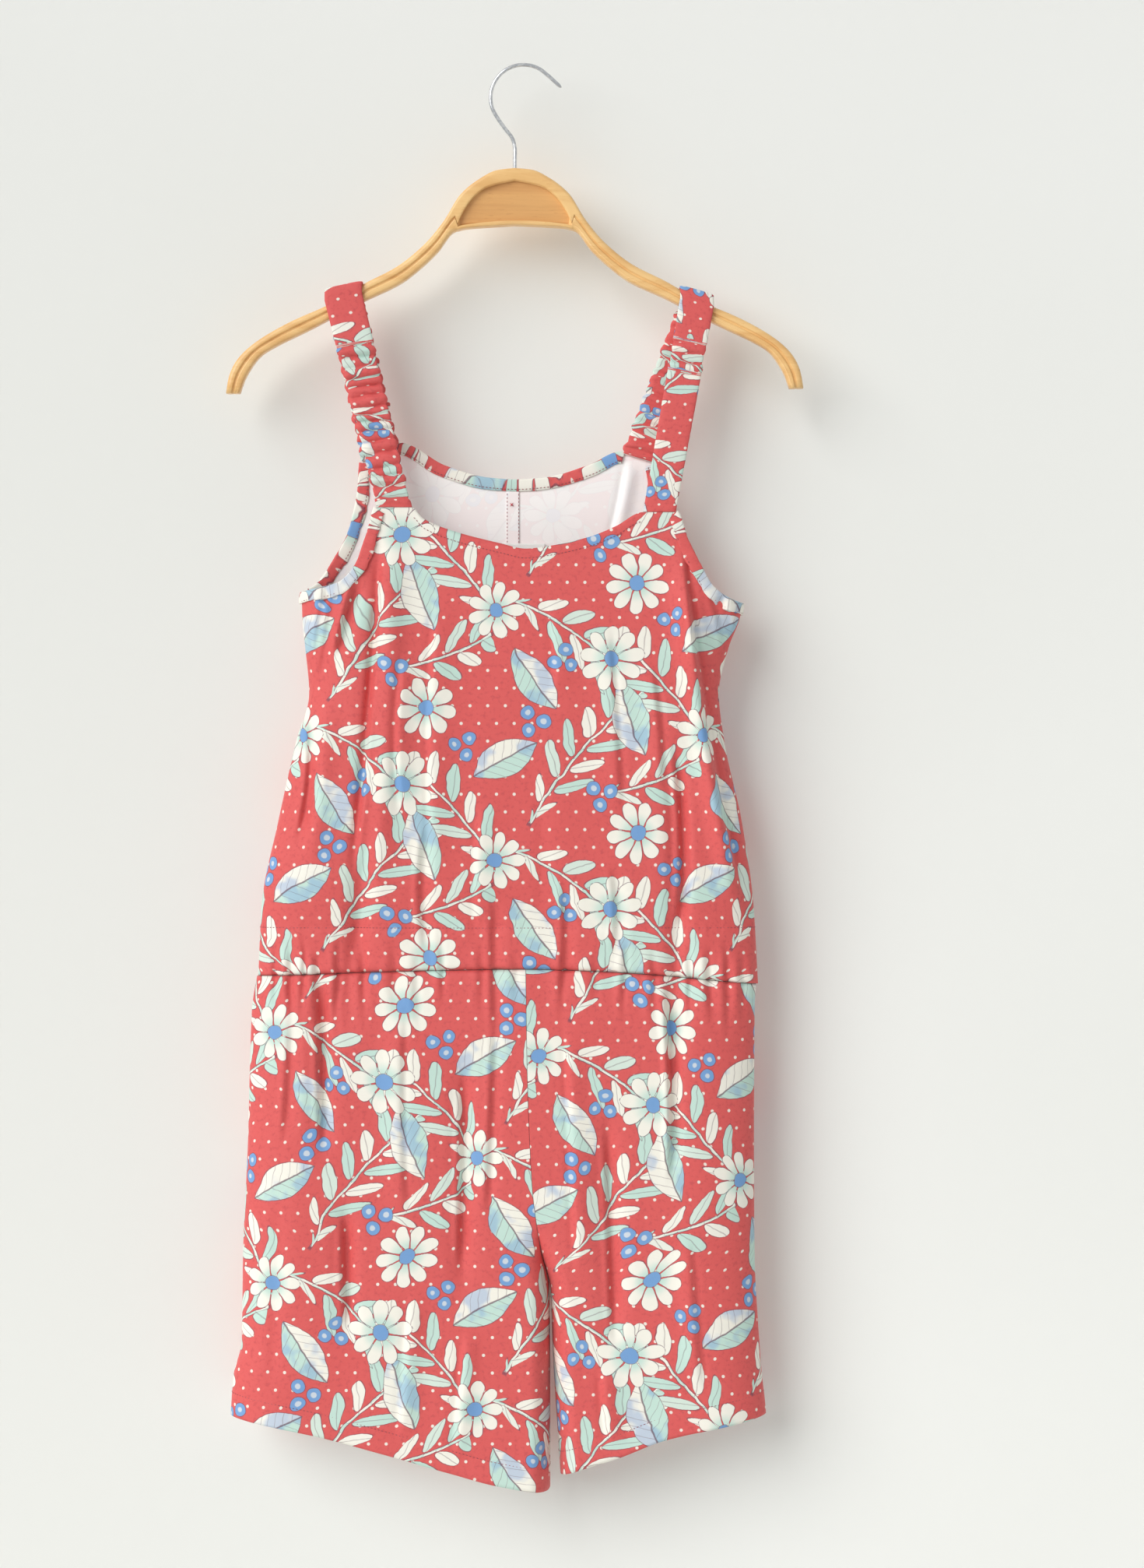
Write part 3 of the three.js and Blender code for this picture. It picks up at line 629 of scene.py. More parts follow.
def make_panels():
    bodice = {"foot_gap": SEAM_GAP}
    panels = {
        "front_bodice": Panel(
            "front_bodice_cloth",
            "front",
            side_of(BODICE_SIDES, "left"),
            side_of(BODICE_SIDES, "right"),
            FRONT_TOP,
            WAIST,
            27,
            6,
            round_left=SIDE_ROUND["front", "left"],
            round_right=SIDE_ROUND["front", "right"],
            **bodice,
        ),
        "back_bodice_left": Panel(
            "back_bodice_left_cloth",
            "back",
            side_of(BODICE_SIDES, "left"),
            lambda drop: BACK_CENTRE_X - SEAM_GAP / 2 + 0 * drop,
            BACK_TOP,
            WAIST,
            14,
            5,
            round_left=SIDE_ROUND["back", "left"],
            flat_shift=(310, 60),
            **bodice,
        ),
        "back_bodice_right": Panel(
            "back_bodice_right_cloth",
            "back",
            lambda drop: BACK_CENTRE_X + SEAM_GAP / 2 + 0 * drop,
            side_of(BODICE_SIDES, "right"),
            BACK_TOP,
            WAIST,
            14,
            5,
            round_right=SIDE_ROUND["back", "right"],
            flat_shift=(470, 20),
            **bodice,
        ),
    }
    for face in ("front", "back"):
        for side in ("left", "right"):
            inside = "right" if side == "left" else "left"
            gap = -SEAM_GAP / 2 if side == "left" else SEAM_GAP / 2
            edges = {side: side_of(LEG_SIDES, side), inside: side_of(LEG_INSIDE, side, gap)}
            options = {
                "round_" + side: SIDE_ROUND[face, side],
                "round_" + inside: INSEAM_ROUND,
                "closes_" + inside: below_crotch,
                "flat_shift": LEG_CUT[face, side],
                "crotch": True,
            }
            columns = 16 if face == "front" else 14
            name = f"{face}_leg_{side}"
            panels[name] = Panel(
                name + "_cloth", face, edges["left"], edges["right"], WAIST, HEM, columns, 4, **options
            )
    return panels


# Where each leg lies on the printed cloth when it is cut.
LEG_CUT = {
    ("front", "left"): (640, 35),
    ("front", "right"): (905, -40),
    ("back", "left"): (1210, 80),
    ("back", "right"): (1530, 10),
}
PANELS = make_panels()

STRAPS = {
    "left": {
        "front": (-108.5, 328, -82, 328),
        "crown": (-147, 165.1, -119.3, 159.1),
        "back": (-121, 292, -93, 279),
    },
    "right": {
        "front": (88.4, 331.5, 112.7, 331.5),
        "crown": (116, 162.4, 141, 169.5),
        "back": (73, 285.5, 98, 293),
    },
}


def strap_edge(strap, right, share):
    """One edge of a strap loop, from its front seat over the arm to its back seat."""
    pick = 2 if right else 0
    front = share < 0.5
    seat_x = np.where(front, strap["front"][pick], strap["back"][pick])
    seat_drop = np.where(front, strap["front"][pick + 1], strap["back"][pick + 1])
    towards = np.where(front, -1, 1)
    from_seat = np.minimum(share, 1 - share)
    crown_x = strap["crown"][pick]
    arc_drop = strap["crown"][pick + 1] + STRAP_REACH
    t = np.clip(from_seat / STRAP_CROWN_SHARE, 0, 1)
    depth = np.where(front, DEPTHS.read("front", seat_drop), DEPTHS.read("back", seat_drop))
    side = np.stack(
        [
            mix(seat_x, crown_x, t),
            towards * mix(SEAM_GAP / 2 + depth, STRAP_REACH, t),
            -mix(seat_drop - SEAM_GAP, arc_drop, t),
        ],
        -1,
    )
    angle = np.clip((from_seat - STRAP_CROWN_SHARE) / (0.5 - STRAP_CROWN_SHARE), 0, 1) * math.pi / 2
    over = np.stack(
        [
            np.full(share.shape, float(crown_x)),
            towards * STRAP_REACH * np.abs(np.cos(angle)) ** STRAP_SQUARENESS,
            STRAP_REACH * np.sin(angle) ** STRAP_SQUARENESS - arc_drop,
        ],
        -1,
    )
    return np.where((from_seat < STRAP_CROWN_SHARE)[:, None], side, over)


def even_path(points, count):
    """Shares of a path at evenly spaced lengths."""
    lengths = np.concatenate([[0], np.cumsum(np.linalg.norm(np.diff(points, axis=0), axis=1))])
    return np.interp(np.linspace(0, lengths[-1], count), lengths, np.linspace(0, 1, len(points))), lengths[-1]


# ---- shader expressions --------------------------------------------------------------------
def colour(red, green, blue):
    """A colour written as it shows on screen, 0 to 255, for a socket."""
    channels = [c / 255 for c in (red, green, blue)]
    return [c / 12.92 if c <= 0.04045 else ((c + 0.055) / 1.055) ** 2.4 for c in channels] + [1.0]


class Number:
    """A number that changes over a surface. An expression on it adds its Math nodes."""

    def __init__(self, paint, socket):
        self.paint, self.socket = paint, socket

    def math(self, operation, *values):
        return self.paint.node("ShaderNodeMath", {"operation": operation}, *values)

    def __add__(self, other):
        return self.math("ADD", self, other)

    __radd__ = __add__

    def __sub__(self, other):
        return self.math("SUBTRACT", self, other)

    def __rsub__(self, other):
        return self.math("SUBTRACT", other, self)

    def __mul__(self, other):
        return self.math("MULTIPLY", self, other)

    __rmul__ = __mul__

    def __truediv__(self, other):
        return self.math("DIVIDE", self, other)

    def __abs__(self):
        return self.math("ABSOLUTE", self)

    def times_plus(self, factor, addend):
        return self.math("MULTIPLY_ADD", self, factor, addend)

    def floor(self):
        return self.math("FLOOR", self)

    def fract(self):
        return self.math("FRACT", self)

    def sine(self):
        return self.math("SINE", self)

    def root(self):
        return self.math("SQRT", self)

    def power(self, exponent):
        return self.math("POWER", self, exponent)

    def least(self, other):
        return self.math("MINIMUM", self, other)

    def most(self, other):
        return self.math("MAXIMUM", self, other)

    def above(self, other):
        return self.math("GREATER_THAN", self, other)

    def angle_to(self, other):
        return self.math("ARCTAN2", self, other)

    def rise(self, low, high, first=0.0, last=1.0):
        """Runs smoothly from first to last as this goes from low to high."""
        settings = {"interpolation_type": "SMOOTHSTEP"}
        return self.paint.node("ShaderNodeMapRange", settings, self, low, high, first, last)

    def ramp(self, low, high, first=0.0, last=1.0):
        return self.paint.node("ShaderNodeMapRange", {"clamp": True}, self, low, high, first, last)


class Paint:
    """The nodes of one material, added one at a time."""

    def __init__(self, name):
        self.material = bpy.data.materials.new(name)
        self.material.use_nodes = True
        self.tree = self.material.node_tree
        self.tree.nodes.clear()

    def node(self, kind, settings=None, *values, out=0, **named):
        """Adds a node, sets what it does, then fills its sockets with numbers or links."""
        node = self.tree.nodes.new(kind)
        for key, value in (settings or {}).items():
            setattr(node, key, value)
        sockets = list(enumerate(values)) + list(named.items())
        for key, value in sockets:
            socket = node.inputs[key.replace("_", " ")] if isinstance(key, str) else node.inputs[key]
            if isinstance(value, Number):
                self.tree.links.new(value.socket, socket)
            else:
                socket.default_value = value
        return Number(self, node.outputs[out])

    def blend(self, under, over, factor):
        """Colour over another, by a factor from 0 to 1."""
        node = self.tree.nodes.new("ShaderNodeMix")
        node.data_type = "RGBA"
        for socket, value in ((node.inputs["Factor"], factor), (node.inputs[6], under), (node.inputs[7], over)):
            if isinstance(value, Number):
                self.tree.links.new(value.socket, socket)
            else:
                socket.default_value = value
        return Number(self, node.outputs[2])

    def flat_place(self):
        """x and y on the flat cloth, in millimetres."""
        place = self.node("ShaderNodeUVMap", {"uv_map": "Cloth"})
        split = self.tree.nodes.new("ShaderNodeSeparateXYZ")
        self.tree.links.new(place.socket, split.inputs[0])
        return Number(self, split.outputs[0]) * 1000, Number(self, split.outputs[1]) * 1000

    def noise(self, vector, scale, detail=2.0, roughness=0.5, distortion=0.0):
        """Smooth uneven values around 0.5."""
        return self.node(
            "ShaderNodeTexNoise",
            {},
            Vector=vector,
            Scale=scale,
            Detail=detail,
            Roughness=roughness,
            Distortion=distortion,
        )

    def vector(self, x, y, z=0.0):
        return self.node("ShaderNodeCombineXYZ", {}, x, y, z)

    def place(self):
        """Place on the object, in metres."""
        return self.node("ShaderNodeTexCoord", {}, out=3)

    def bump(self, height, strength, distance):
        return self.node("ShaderNodeBump", {}, Strength=strength, Distance=distance, Height=height)

    def surface(self, base, roughness, **extra):
        shader = self.node("ShaderNodeBsdfPrincipled", {}, Base_Color=base, Roughness=roughness, **extra)
        self.finish(shader)
        return self.material

    def finish(self, shader):
        output = self.tree.nodes.new("ShaderNodeOutputMaterial")
        self.tree.links.new(shader.socket, output.inputs["Surface"])


# ---- the printed cloth ---------------------------------------------------------------------
CORAL = colour(218, 90, 88)
DEEP_CORAL = colour(190, 74, 78)
IVORY = colour(243, 240, 228)
MINT = colour(196, 224, 212)
SKY = colour(116, 160, 210)
INK = colour(102, 66, 84)
REPEAT_X = 156
REPEAT_Y = 184
DOT_GRID = 13

# The motifs of one repeat, from the ground up: where each starts, its turn in degrees, its length,
# half-width and how far it bends.
MOTIFS = Table(
    "order kind x y turn length width bend",
    (0, 0, 36, 46, 60, 126, 26, 0.2),
    (1, 0, 112, 94, 120, 118, 26, -0.2),
    (2, 0, 34, 140, -20, 86, 24, 0.25),
    (3, 0, 98, 18, 8, 74, 22, -0.2),
    (4, 1, 78, 66, 118, 56, 14, 0.15),
    (5, 1, 6, 96, -62, 54, 13, -0.12),
    (6, 1, 142, 132, 34, 52, 13, 0.1),
    (7, 2, 66, 112, 10, 24, 0, 0),
    (8, 2, 136, 56, 40, 21, 0, 0),
    (9, 2, 84, 168, 70, 23, 0, 0),
    (10, 3, 8, 66, 0, 7.5, 0, 0),
    (11, 3, 112, 140, 50, 7, 0, 0),
    (12, 3, 58, 12, 20, 7.5, 0, 0),
    (13, 3, 30, 112, 80, 7, 0, 0),
)


def shade(name):
    return list(getattr(bpy.context.scene.romper_colours, name))


def local_place(paint, x, y, row):
    """Place along and across one motif, in its own repeat with a half drop."""
    a = x * (1 / REPEAT_X) + (0.5 - row["x"] / REPEAT_X)
    column = a.floor()
    across = (a - column) * REPEAT_X - REPEAT_X / 2
    b = y * (1 / REPEAT_Y) + column * 0.5 + (0.5 - row["y"] / REPEAT_Y)
    down = b.fract() * REPEAT_Y - REPEAT_Y / 2
    turn = math.radians(row["turn"])
    along = across * math.cos(turn) + down * math.sin(turn)
    aside = down * math.cos(turn) - across * math.sin(turn)
    return along, aside


def bent_stem(along, aside, row):
    """Share along a motif's bent stem, and the signed distance from it."""
    share = along * (1 / row["length"]) + 0.5
    return share, share * share * (row["bend"] * row["length"]) + aside


def outlined(paint, ground, fill, inside, line):
    """A filled motif with a thin drawn outline just outside its edge."""
    edged = paint.blend(ground, shade("line"), inside.rise(-line, -line * 0.5) * 0.7)
    return paint.blend(edged, fill, inside.rise(-line * 0.25, line * 0.25))


def draw_sprig(paint, ground, along, aside, row, grain):
    """A stem with plain rounded leaves either side of it."""
    share, bent = bent_stem(along, aside, row)
    away, side = abs(bent), bent.above(0.0)
    root = along - away * 0.9 + row["length"] / 2
    step = side * 0.5 + root * (1 / 19)
    chance = (step.floor() * 2.4 + side * 1.7).sine()
    beat = abs(step.fract() - 0.5) * 2
    root = (root * (1 / row["length"])).most(0.0).least(1.0)
    reach = (root * (1 - root) * 5).least(1.0) * (chance * 0.12 + 0.88) * row["width"]
    out = away / reach.most(0.5)
    leaf = ((out - 0.1) * (1 - out)).most(0.0).root() * 1.35 - beat
    leaf = leaf.least((1 - out) * 2.5).least((out - 0.1) * 4).least(root * (1 - root) * 40 - 0.2)
    stem = (0.8 - away).least((0.5 - abs(share - 0.5)) * 30) * 0.12
    fill = paint.blend(shade("leaf"), shade("tint"), chance.rise(-0.2, 0.5))
    fill = paint.blend(fill, shade("line"), beat.rise(0.0, 0.08, 0.5, 0.0))
    return outlined(paint, ground, fill, leaf.most(stem), 0.1)


def draw_leaf(paint, ground, along, aside, row, grain):
    """A whole leaf, paler on one side of its rib."""
    share, bent = bent_stem(along, aside, row)
    away = abs(bent)
    inside = share * (1 - share) * (4 * row["width"]) - away
    veins = abs(((along - away * 0.8) * (1 / 7)).fract() - 0.5).rise(0.0, 0.07, 0.5, 0.0)
    fill = paint.blend(shade("tint"), shade("leaf"), bent.rise(-0.3, 0.3))
    fill = paint.blend(fill, shade("accent"), grain.rise(0.46, 0.6) * 0.5)
    fill = paint.blend(fill, shade("line"), veins.most(away.rise(0.3, 0.9, 0.8, 0.0)))
    return outlined(paint, ground, fill, inside, 0.8)


def draw_daisy(paint, ground, along, aside, row, grain):
    """Nine round-ended petals about a plain centre."""
    radius = (along * along + aside * aside).root()
    share = radius * (1 / row["length"])
    beat = abs((aside.angle_to(along) * (4.5 / math.pi) + 4.5).fract() - 0.5) * 2
    petal = ((share - 0.12) * (1 - share)).most(0.0).root() * 2 - beat
    petal = petal.least((1 - share) * 4)
    fill = paint.blend(shade("tint"), shade("leaf"), share.rise(0.25, 0.7))
    ground = outlined(paint, ground, fill, petal, 0.14)
    return outlined(paint, ground, shade("accent"), row["length"] * 0.24 - radius, 0.7)


def draw_berries(paint, ground, along, aside, row, grain):
    """Three round berries."""
    radius = (along * along + aside * aside).root()
    turn = ((aside.angle_to(along) * (1.5 / math.pi) + 1.5).fract() - 0.5) * (2 * math.pi / 3)
    out = radius * (turn + math.pi / 2).sine() - row["length"]
    wide = radius * turn.sine()
    inside = row["length"] * 0.68 - (out * out + wide * wide).root()
    fill = paint.blend(shade("accent"), shade("leaf"), inside.rise(2.6, 3.4) * 0.6)
    return outlined(paint, ground, fill, inside, 0.7)


DRAW = (draw_sprig, draw_leaf, draw_daisy, draw_berries)


def print_colour(paint, x, y):
    """The whole printed design at a place on the flat cloth."""
    cloth = paint.vector(x, y)
    grain = paint.noise(cloth, 0.045, 2.0, 0.55)
    fine = paint.noise(cloth, 0.3, 3.0, 0.6)
    ground = paint.blend(shade("ground"), DEEP_CORAL, fine.rise(0.5, 0.7) * 0.5)
    cell_x = (x * (1 / DOT_GRID) + (y * (1 / DOT_GRID)).floor() * 0.5).fract() - 0.5
    cell_y = (y * (1 / DOT_GRID)).fract() - 0.5
    dot = (cell_x * cell_x + cell_y * cell_y).root()
    ground = paint.blend(ground, shade("leaf"), dot.rise(0.07, 0.11, 0.9, 0.0))
    x, y = x + (grain - 0.5) * 8, y + (fine - 0.5)
    columns = MOTIFS.columns
    for i in range(len(columns["order"])):
        row = {name: float(values[i]) for name, values in columns.items()}
        along, aside = local_place(paint, x, y, row)
        ground = DRAW[int(row["kind"])](paint, ground, along, aside, row, grain)
    return ground, fine


def printed_cloth(name, wrong_side=False):
    paint = Paint(name)
    x, y = paint.flat_place()
    colour_now, fine = print_colour(paint, x, y)
    if wrong_side:
        colour_now = paint.blend(colour_now, colour(254, 249, 247), 0.92)
    threads = (x * 5.2).sine() * (y * 5.2).sine()
    bump = paint.bump(threads * 0.5 + fine, 0.25, 0.0003)
    roughness = fine.ramp(0.3, 0.7, 0.62, 0.78)
    return paint.surface(colour_now, roughness, Normal=bump, Sheen_Weight=0.12, Sheen_Roughness=0.4)


def plain_cloth(name, shade, depth):
    paint = Paint(name)
    place = paint.place()
    fine = paint.noise(place, 900.0, 2.0, 0.6)
    slow = paint.noise(place, 60.0, 2.0, 0.5)
    base = paint.blend(shade, depth, slow.rise(0.4, 0.7) * 0.5)
    return paint.surface(base, fine.ramp(0.3, 0.7, 0.6, 0.8), Normal=paint.bump(fine, 0.3, 0.0002))


def wood(name, pale, dark, figure):
    """Sanded and lacquered wood with its grain along the hanger."""
    paint = Paint(name)
    place = paint.place()
    stretched = paint.node("ShaderNodeMapping", {}, Vector=place, Scale=(figure, 60.0, 95.0))
    grain = paint.noise(stretched, 1.0, 5.0, 0.6, 0.6)
    flecks = paint.noise(paint.node("ShaderNodeMapping", {}, Vector=place, Scale=(140.0, 400.0, 900.0)), 1.0, 2.0)
    base = paint.blend(pale, dark, grain.rise(0.35, 0.7) * 0.7)
    base = paint.blend(base, dark, flecks.rise(0.62, 0.72) * 0.45)
    roughness = grain.ramp(0.3, 0.7, 0.34, 0.46)
    bump = paint.bump(grain + flecks * 0.4, 0.12, 0.0004)
    return paint.surface(base, roughness, Normal=bump, Coat_Weight=0.25, Coat_Roughness=0.2)


def chrome(name):
    paint = Paint(name)
    fine = paint.noise(paint.place(), 400.0, 2.0, 0.5)
    base = paint.blend(colour(205, 207, 210), colour(180, 183, 188), fine.rise(0.4, 0.6))
    return paint.surface(base, fine.ramp(0.3, 0.7, 0.12, 0.22), Metallic=1.0)


def thread(name, shade):
    paint = Paint(name)
    twist = paint.noise(paint.place(), 3000.0, 2.0, 0.5)
    base = paint.blend(shade, [c * 0.7 for c in shade[:3]] + [1.0], twist.rise(0.4, 0.7) * 0.6)
    return paint.surface(base, twist.ramp(0.3, 0.7, 0.5, 0.7))


MATERIALS = {}


def material(name, make, *arguments):
    if name not in MATERIALS:
        MATERIALS[name] = make(name, *arguments)
    return MATERIALS[name]


def cloth_materials():
    return [material("printed_viscose", printed_cloth), material("viscose_wrong_side", printed_cloth, True)]


def settle(piece, slot=None, *nodes):
    """Rides a finished piece on the body, and stands it for its CAD nodes."""
    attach(piece, "root")
    if nodes:
        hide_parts(*nodes)
    return piece


# ---- hanger --------------------------------------------------------------------------------
HANGER_MIDDLE = -6.5
HANGER_THICKNESS = 12
HANGER_TILT = 0.009
HANGER_TOP = Table(
    "out drop",
    (0, 75.5),
    (13, 77),
    (26, 83.3),
    (40, 94.6),
    (53, 115),
    (67, 131.6),
    (87.5, 148),
    (111.5, 160.3),
    (137.5, 175.4),
    (165, 187.5),
    (182.5, 196.8),
    (196, 206),
    (206, 216.2),
    (212, 228.6),
    (214, 240.5),
)
HANGER_UNDER = Table(
    "out drop",
    (0, 117.8),
    (36, 120),
    (45, 122.6),
    (57, 137.3),
    (71, 150.3),
    (84.5, 160.3),
    (112, 173.3),
    (151.5, 193.8),
    (179, 207.2),
    (188, 213),
    (199.5, 229.5),
    (203.5, 240.5),
)
WINDOW_TOP = Table("out drop", (0, 85), (20, 89.5), (30, 96.5), (38, 107), (43, 116))
WINDOW_FOOT = (115, 117.4)


def hanger_outline(table, out):
    drop = table.read("drop", np.abs(out))
    return np.stack([HANGER_MIDDLE + out, HANGER_TILT * out - drop], -1)


def build_hanger():
    """The bent arms and arch with rounded edges, a routed groove and a recess for the inset."""
    stations = 361
    t = np.linspace(-1, 1, stations)
    top = hanger_outline(HANGER_TOP, t * 214)
    under = hanger_outline(HANGER_UNDER, t * 203.5)
    across = under - top
    height = np.linalg.norm(across, axis=1)
    direction = across / height[:, None]
    end = WINDOW_TOP.keys[-1]
    window_out = np.clip(np.abs(mix(top[:, 0], under[:, 0], 0.5) - HANGER_MIDDLE), 0, end)
    sections = []
    for i in range(stations):
        sections.append(hanger_section(top[i], direction[i], height[i], window_out[i]))
    rings = np.array(sections)
    uv = np.stack([rings[..., 0].ravel(), rings[..., 2].ravel()], -1)
    piece = sweep_tube(
        "hanger_wood_frame", rings, uv, [material("beech", wood, list(shades().beech), colour(222, 166, 96), 9.0)]
    )
    return face_outwards(piece)


def hanger_section(top, direction, height, window_out):
    """A ring of points round the wood at one station, from its top edge down the front and back up."""
    half = HANGER_THICKNESS / 2
    roll = min(3.2, height * 0.3)
    drops, depths = [], []
    for angle in np.linspace(0, math.pi / 2, 6):
        drops.append(roll * (1 - math.cos(angle)))
        depths.append(half - roll * (1 - math.sin(angle)))
    groove_at, groove_half, groove_depth = hanger_groove(height, window_out)
    for share in np.linspace(0, 1, 5)[1:]:
        drops.append(mix(roll, groove_at - groove_half - 0.5, share))
        depths.append(half)
    drops += [groove_at - groove_half, groove_at - groove_half + 0.35]
    depths += [half - 0.25, half - groove_depth]
    for share in np.linspace(0, 1, 4)[1:-1]:
        drops.append(groove_at - groove_half + 0.35 + share * (2 * groove_half - 0.7))
        depths.append(half - groove_depth)
    drops += [groove_at + groove_half - 0.35, groove_at + groove_half]
    depths += [half - groove_depth, half - 0.25]
    foot_roll = min(roll, max(0.8, (height - groove_at - groove_half) * 0.5))
    for share in np.linspace(0, 1, 5):
        drops.append(mix(groove_at + groove_half + 0.5, height - foot_roll, share))
        depths.append(half)
    for angle in np.linspace(math.pi / 2, 0, 6):
        drops.append(height - foot_roll * (1 - math.cos(angle)))
        depths.append(half - foot_roll * (1 - math.sin(angle)))
    drops = np.maximum.accumulate(np.array(drops))
    depths = np.array(depths)
    line = top[None, :] + direction[None, :] * drops[:, None]
    front = np.stack([line[:, 0], -depths, line[:, 1]], -1)
    back = np.stack([line[:, 0], depths, line[:, 1]], -1)[::-1]
    return np.concatenate([front, back[:-1] if depths[0] == 0 else back])


def hanger_groove(height, window_out):
    """Middle, half height and depth of the recess at one station, down from its top edge."""
    end = WINDOW_TOP.keys[-1]
    if window_out >= end - 1e-6:
        return height * 0.5, 1.0, 1.5
    head = WINDOW_TOP.read("drop", window_out)
    foot = mix(WINDOW_FOOT[0], WINDOW_FOOT[1], (window_out / end) ** 2)
    top_drop = HANGER_TOP.read("drop", window_out)
    head_at = (head - top_drop) * 0.97
    foot_at = foot - top_drop
    half = max(1.0, (foot_at - head_at) / 2)
    depth = mix(1.5, 4.4, float(ease((half - 1.0) / 2)))
    return min((head_at + foot_at) / 2, height - 3.4), half, depth


# ---- add-on --------------------------------------------------------------------------------
def shade_property(name, description, default):
    return bpy.props.FloatVectorProperty(
        name=name, description=description, default=default, subtype="COLOR", size=4, min=0.0, max=1.0
    )


def length_property(name, description, default):
    return bpy.props.FloatProperty(name=name, description=description, default=default * MM, unit="LENGTH")


class RomperSizes(bpy.types.PropertyGroup):
    """Sizes of the romper that a user would change"""

    cloth: length_property("Cloth", "Thickness of the cloth", CLOTH)
    across: length_property("Mesh across", "Distance between points across a piece", 1.5)
    down: length_property("Mesh down", "Distance between points down a piece", 2.6)
    wall: length_property("Wall", "Distance of the wall behind the hook", 42)


class RomperColours(bpy.types.PropertyGroup):
    """Colours of the romper that a user would change"""

    ground: shade_property("Ground", "Ground colour of the print", CORAL)
    leaf: shade_property("Leaves", "Palest colour of the leaves", IVORY)
    tint: shade_property("Tint", "Second colour of the leaves", MINT)
    accent: shade_property("Accent", "Colour of the berries and the daisies' centres", SKY)
    line: shade_property("Lines", "Colour of the drawn lines", INK)
    beech: shade_property("Hanger", "Colour of the hanger's wood", colour(243, 200, 134))


def sizes():
    return bpy.context.scene.romper_sizes


def shades():
    return bpy.context.scene.romper_colours


class ROMPER_OT_hanger(bpy.types.Operator):
    """Build the wooden hanger with its inset and the wire hook"""

    bl_idname = "romper.hanger"
    bl_label = "Hanger"

    def execute(self, context):
        settle(build_hanger(), "hanger_wood", "hanger_frame")
        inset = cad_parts["hanger_panel"]
        inset.data.materials.clear()
        inset.data.materials.append(material("inset_wood", wood, colour(226, 172, 106), colour(200, 142, 80), 5.0))
        settle(build_hook(), "hook_steel", "hook")
        return {"FINISHED"}


HOOK_WIRE = 2.8
HOOK_RADIUS = 24.4
HOOK_STEM_X = -6.4
HOOK_FOOT = 81.2


def build_hook():
    centre = -(HOOK_RADIUS - HOOK_WIRE / 2)
    route = [(28, -15.5)]
    for degrees in range(45, 216, 17):
        angle = math.radians(degrees)
        route.append((HOOK_RADIUS * math.cos(angle), centre + HOOK_RADIUS * math.sin(angle)))
    route += [(-14, -45.6), (-8.4, -53), (HOOK_STEM_X, -60), (HOOK_STEM_X, -70), (HOOK_STEM_X, -HOOK_FOOT)]
    line = smooth_route(np.array(route), 10)
    ahead = unit(np.gradient(line, axis=0))
    sideways = np.stack([-ahead[:, 1], ahead[:, 0]], -1)
    angles = np.linspace(0, 2 * math.pi, 17)[:-1]
    radius = np.full(len(line), HOOK_WIRE / 2)
    radius[0], radius[1] = 0.5, 1.1
    rings = [
        np.stack(
            [
                p[0] + side[0] * r * np.cos(angles),
                r * np.sin(angles),
                p[1] + side[1] * r * np.cos(angles),
            ],
            -1,
        )
        for p, side, r in zip(line, sideways, radius)
    ]
    return face_outwards(sweep_tube("hook_wire", np.array(rings), None, [material("chrome_wire", chrome)]))


def smooth_route(route, steps):
    """A smooth line through the points of a route."""
    before = np.concatenate([[2 * route[0] - route[1]], route, [2 * route[-1] - route[-2]]])
    line = []
    for i in range(1, len(before) - 2):
        p0, p1, p2, p3 = before[i - 1 : i + 3]
        k = [math.sqrt(max(np.linalg.norm(b - a), 1e-9)) for a, b in ((p0, p1), (p1, p2), (p2, p3))]
        t0, t1, t2, t3 = 0, k[0], k[0] + k[1], sum(k)
        for t in np.linspace(t1, t2, steps, endpoint=False):
            a1 = mix(p0, p1, (t - t0) / (t1 - t0))
            a2 = mix(p1, p2, (t - t1) / (t2 - t1))
            a3 = mix(p2, p3, (t - t2) / (t3 - t2))
            b1 = mix(a1, a2, (t - t0) / (t2 - t0))
            b2 = mix(a2, a3, (t - t1) / (t3 - t1))
            line.append(mix(b1, b2, (t - t1) / (t2 - t1)))
    return np.array(line + [route[-1]])


# The cut of what shows of each panel, measured along the cloth: width, length and area in metres.
CUTS = {
    "front_bodice": (0.422, 0.352, 0.119),
    "back_bodice_left": (0.217, 0.395, 0.063),
    "back_bodice_right": (0.208, 0.394, 0.062),
    "front_leg_left": (0.268, 0.384, 0.087),
    "front_leg_right": (0.208, 0.374, 0.064),
    "back_leg_left": (0.26, 0.384, 0.084),
    "back_leg_right": (0.199, 0.374, 0.061),
}


def build_cut(name):
    """Builds one panel, with its mesh spacing taken from its cut."""
    width, length, area = CUTS[name]
    rows, columns = round(length / sizes().down), round(width / sizes().across)
    piece = settle(PANELS[name].build(rows, columns, cloth_materials()), "printed_cloth", name)


class ROMPER_OT_bodice(bpy.types.Operator):
    """Build the front and the two back halves of the bodice"""

    bl_idname = "romper.bodice"
    bl_label = "Bodice"

    def execute(self, context):
        for name in ("front_bodice", "back_bodice_left", "back_bodice_right"):
            build_cut(name)
        return {"FINISHED"}


class ROMPER_OT_legs(bpy.types.Operator):
    """Build the four leg panels"""

    bl_idname = "romper.legs"
    bl_label = "Legs"

    def execute(self, context):
        for face in ("front", "back"):
            for side in ("left", "right"):
                build_cut(f"{face}_leg_{side}")
        return {"FINISHED"}


class ROMPER_OT_straps(bpy.types.Operator):
    """Build the two gathered shoulder straps"""

    bl_idname = "romper.straps"
    bl_label = "Straps"

    def execute(self, context):
        for side, strap in STRAPS.items():
            piece = build_strap(side, strap)
            settle(piece, "printed_cloth", f"strap_{side}")
        return {"FINISHED"}


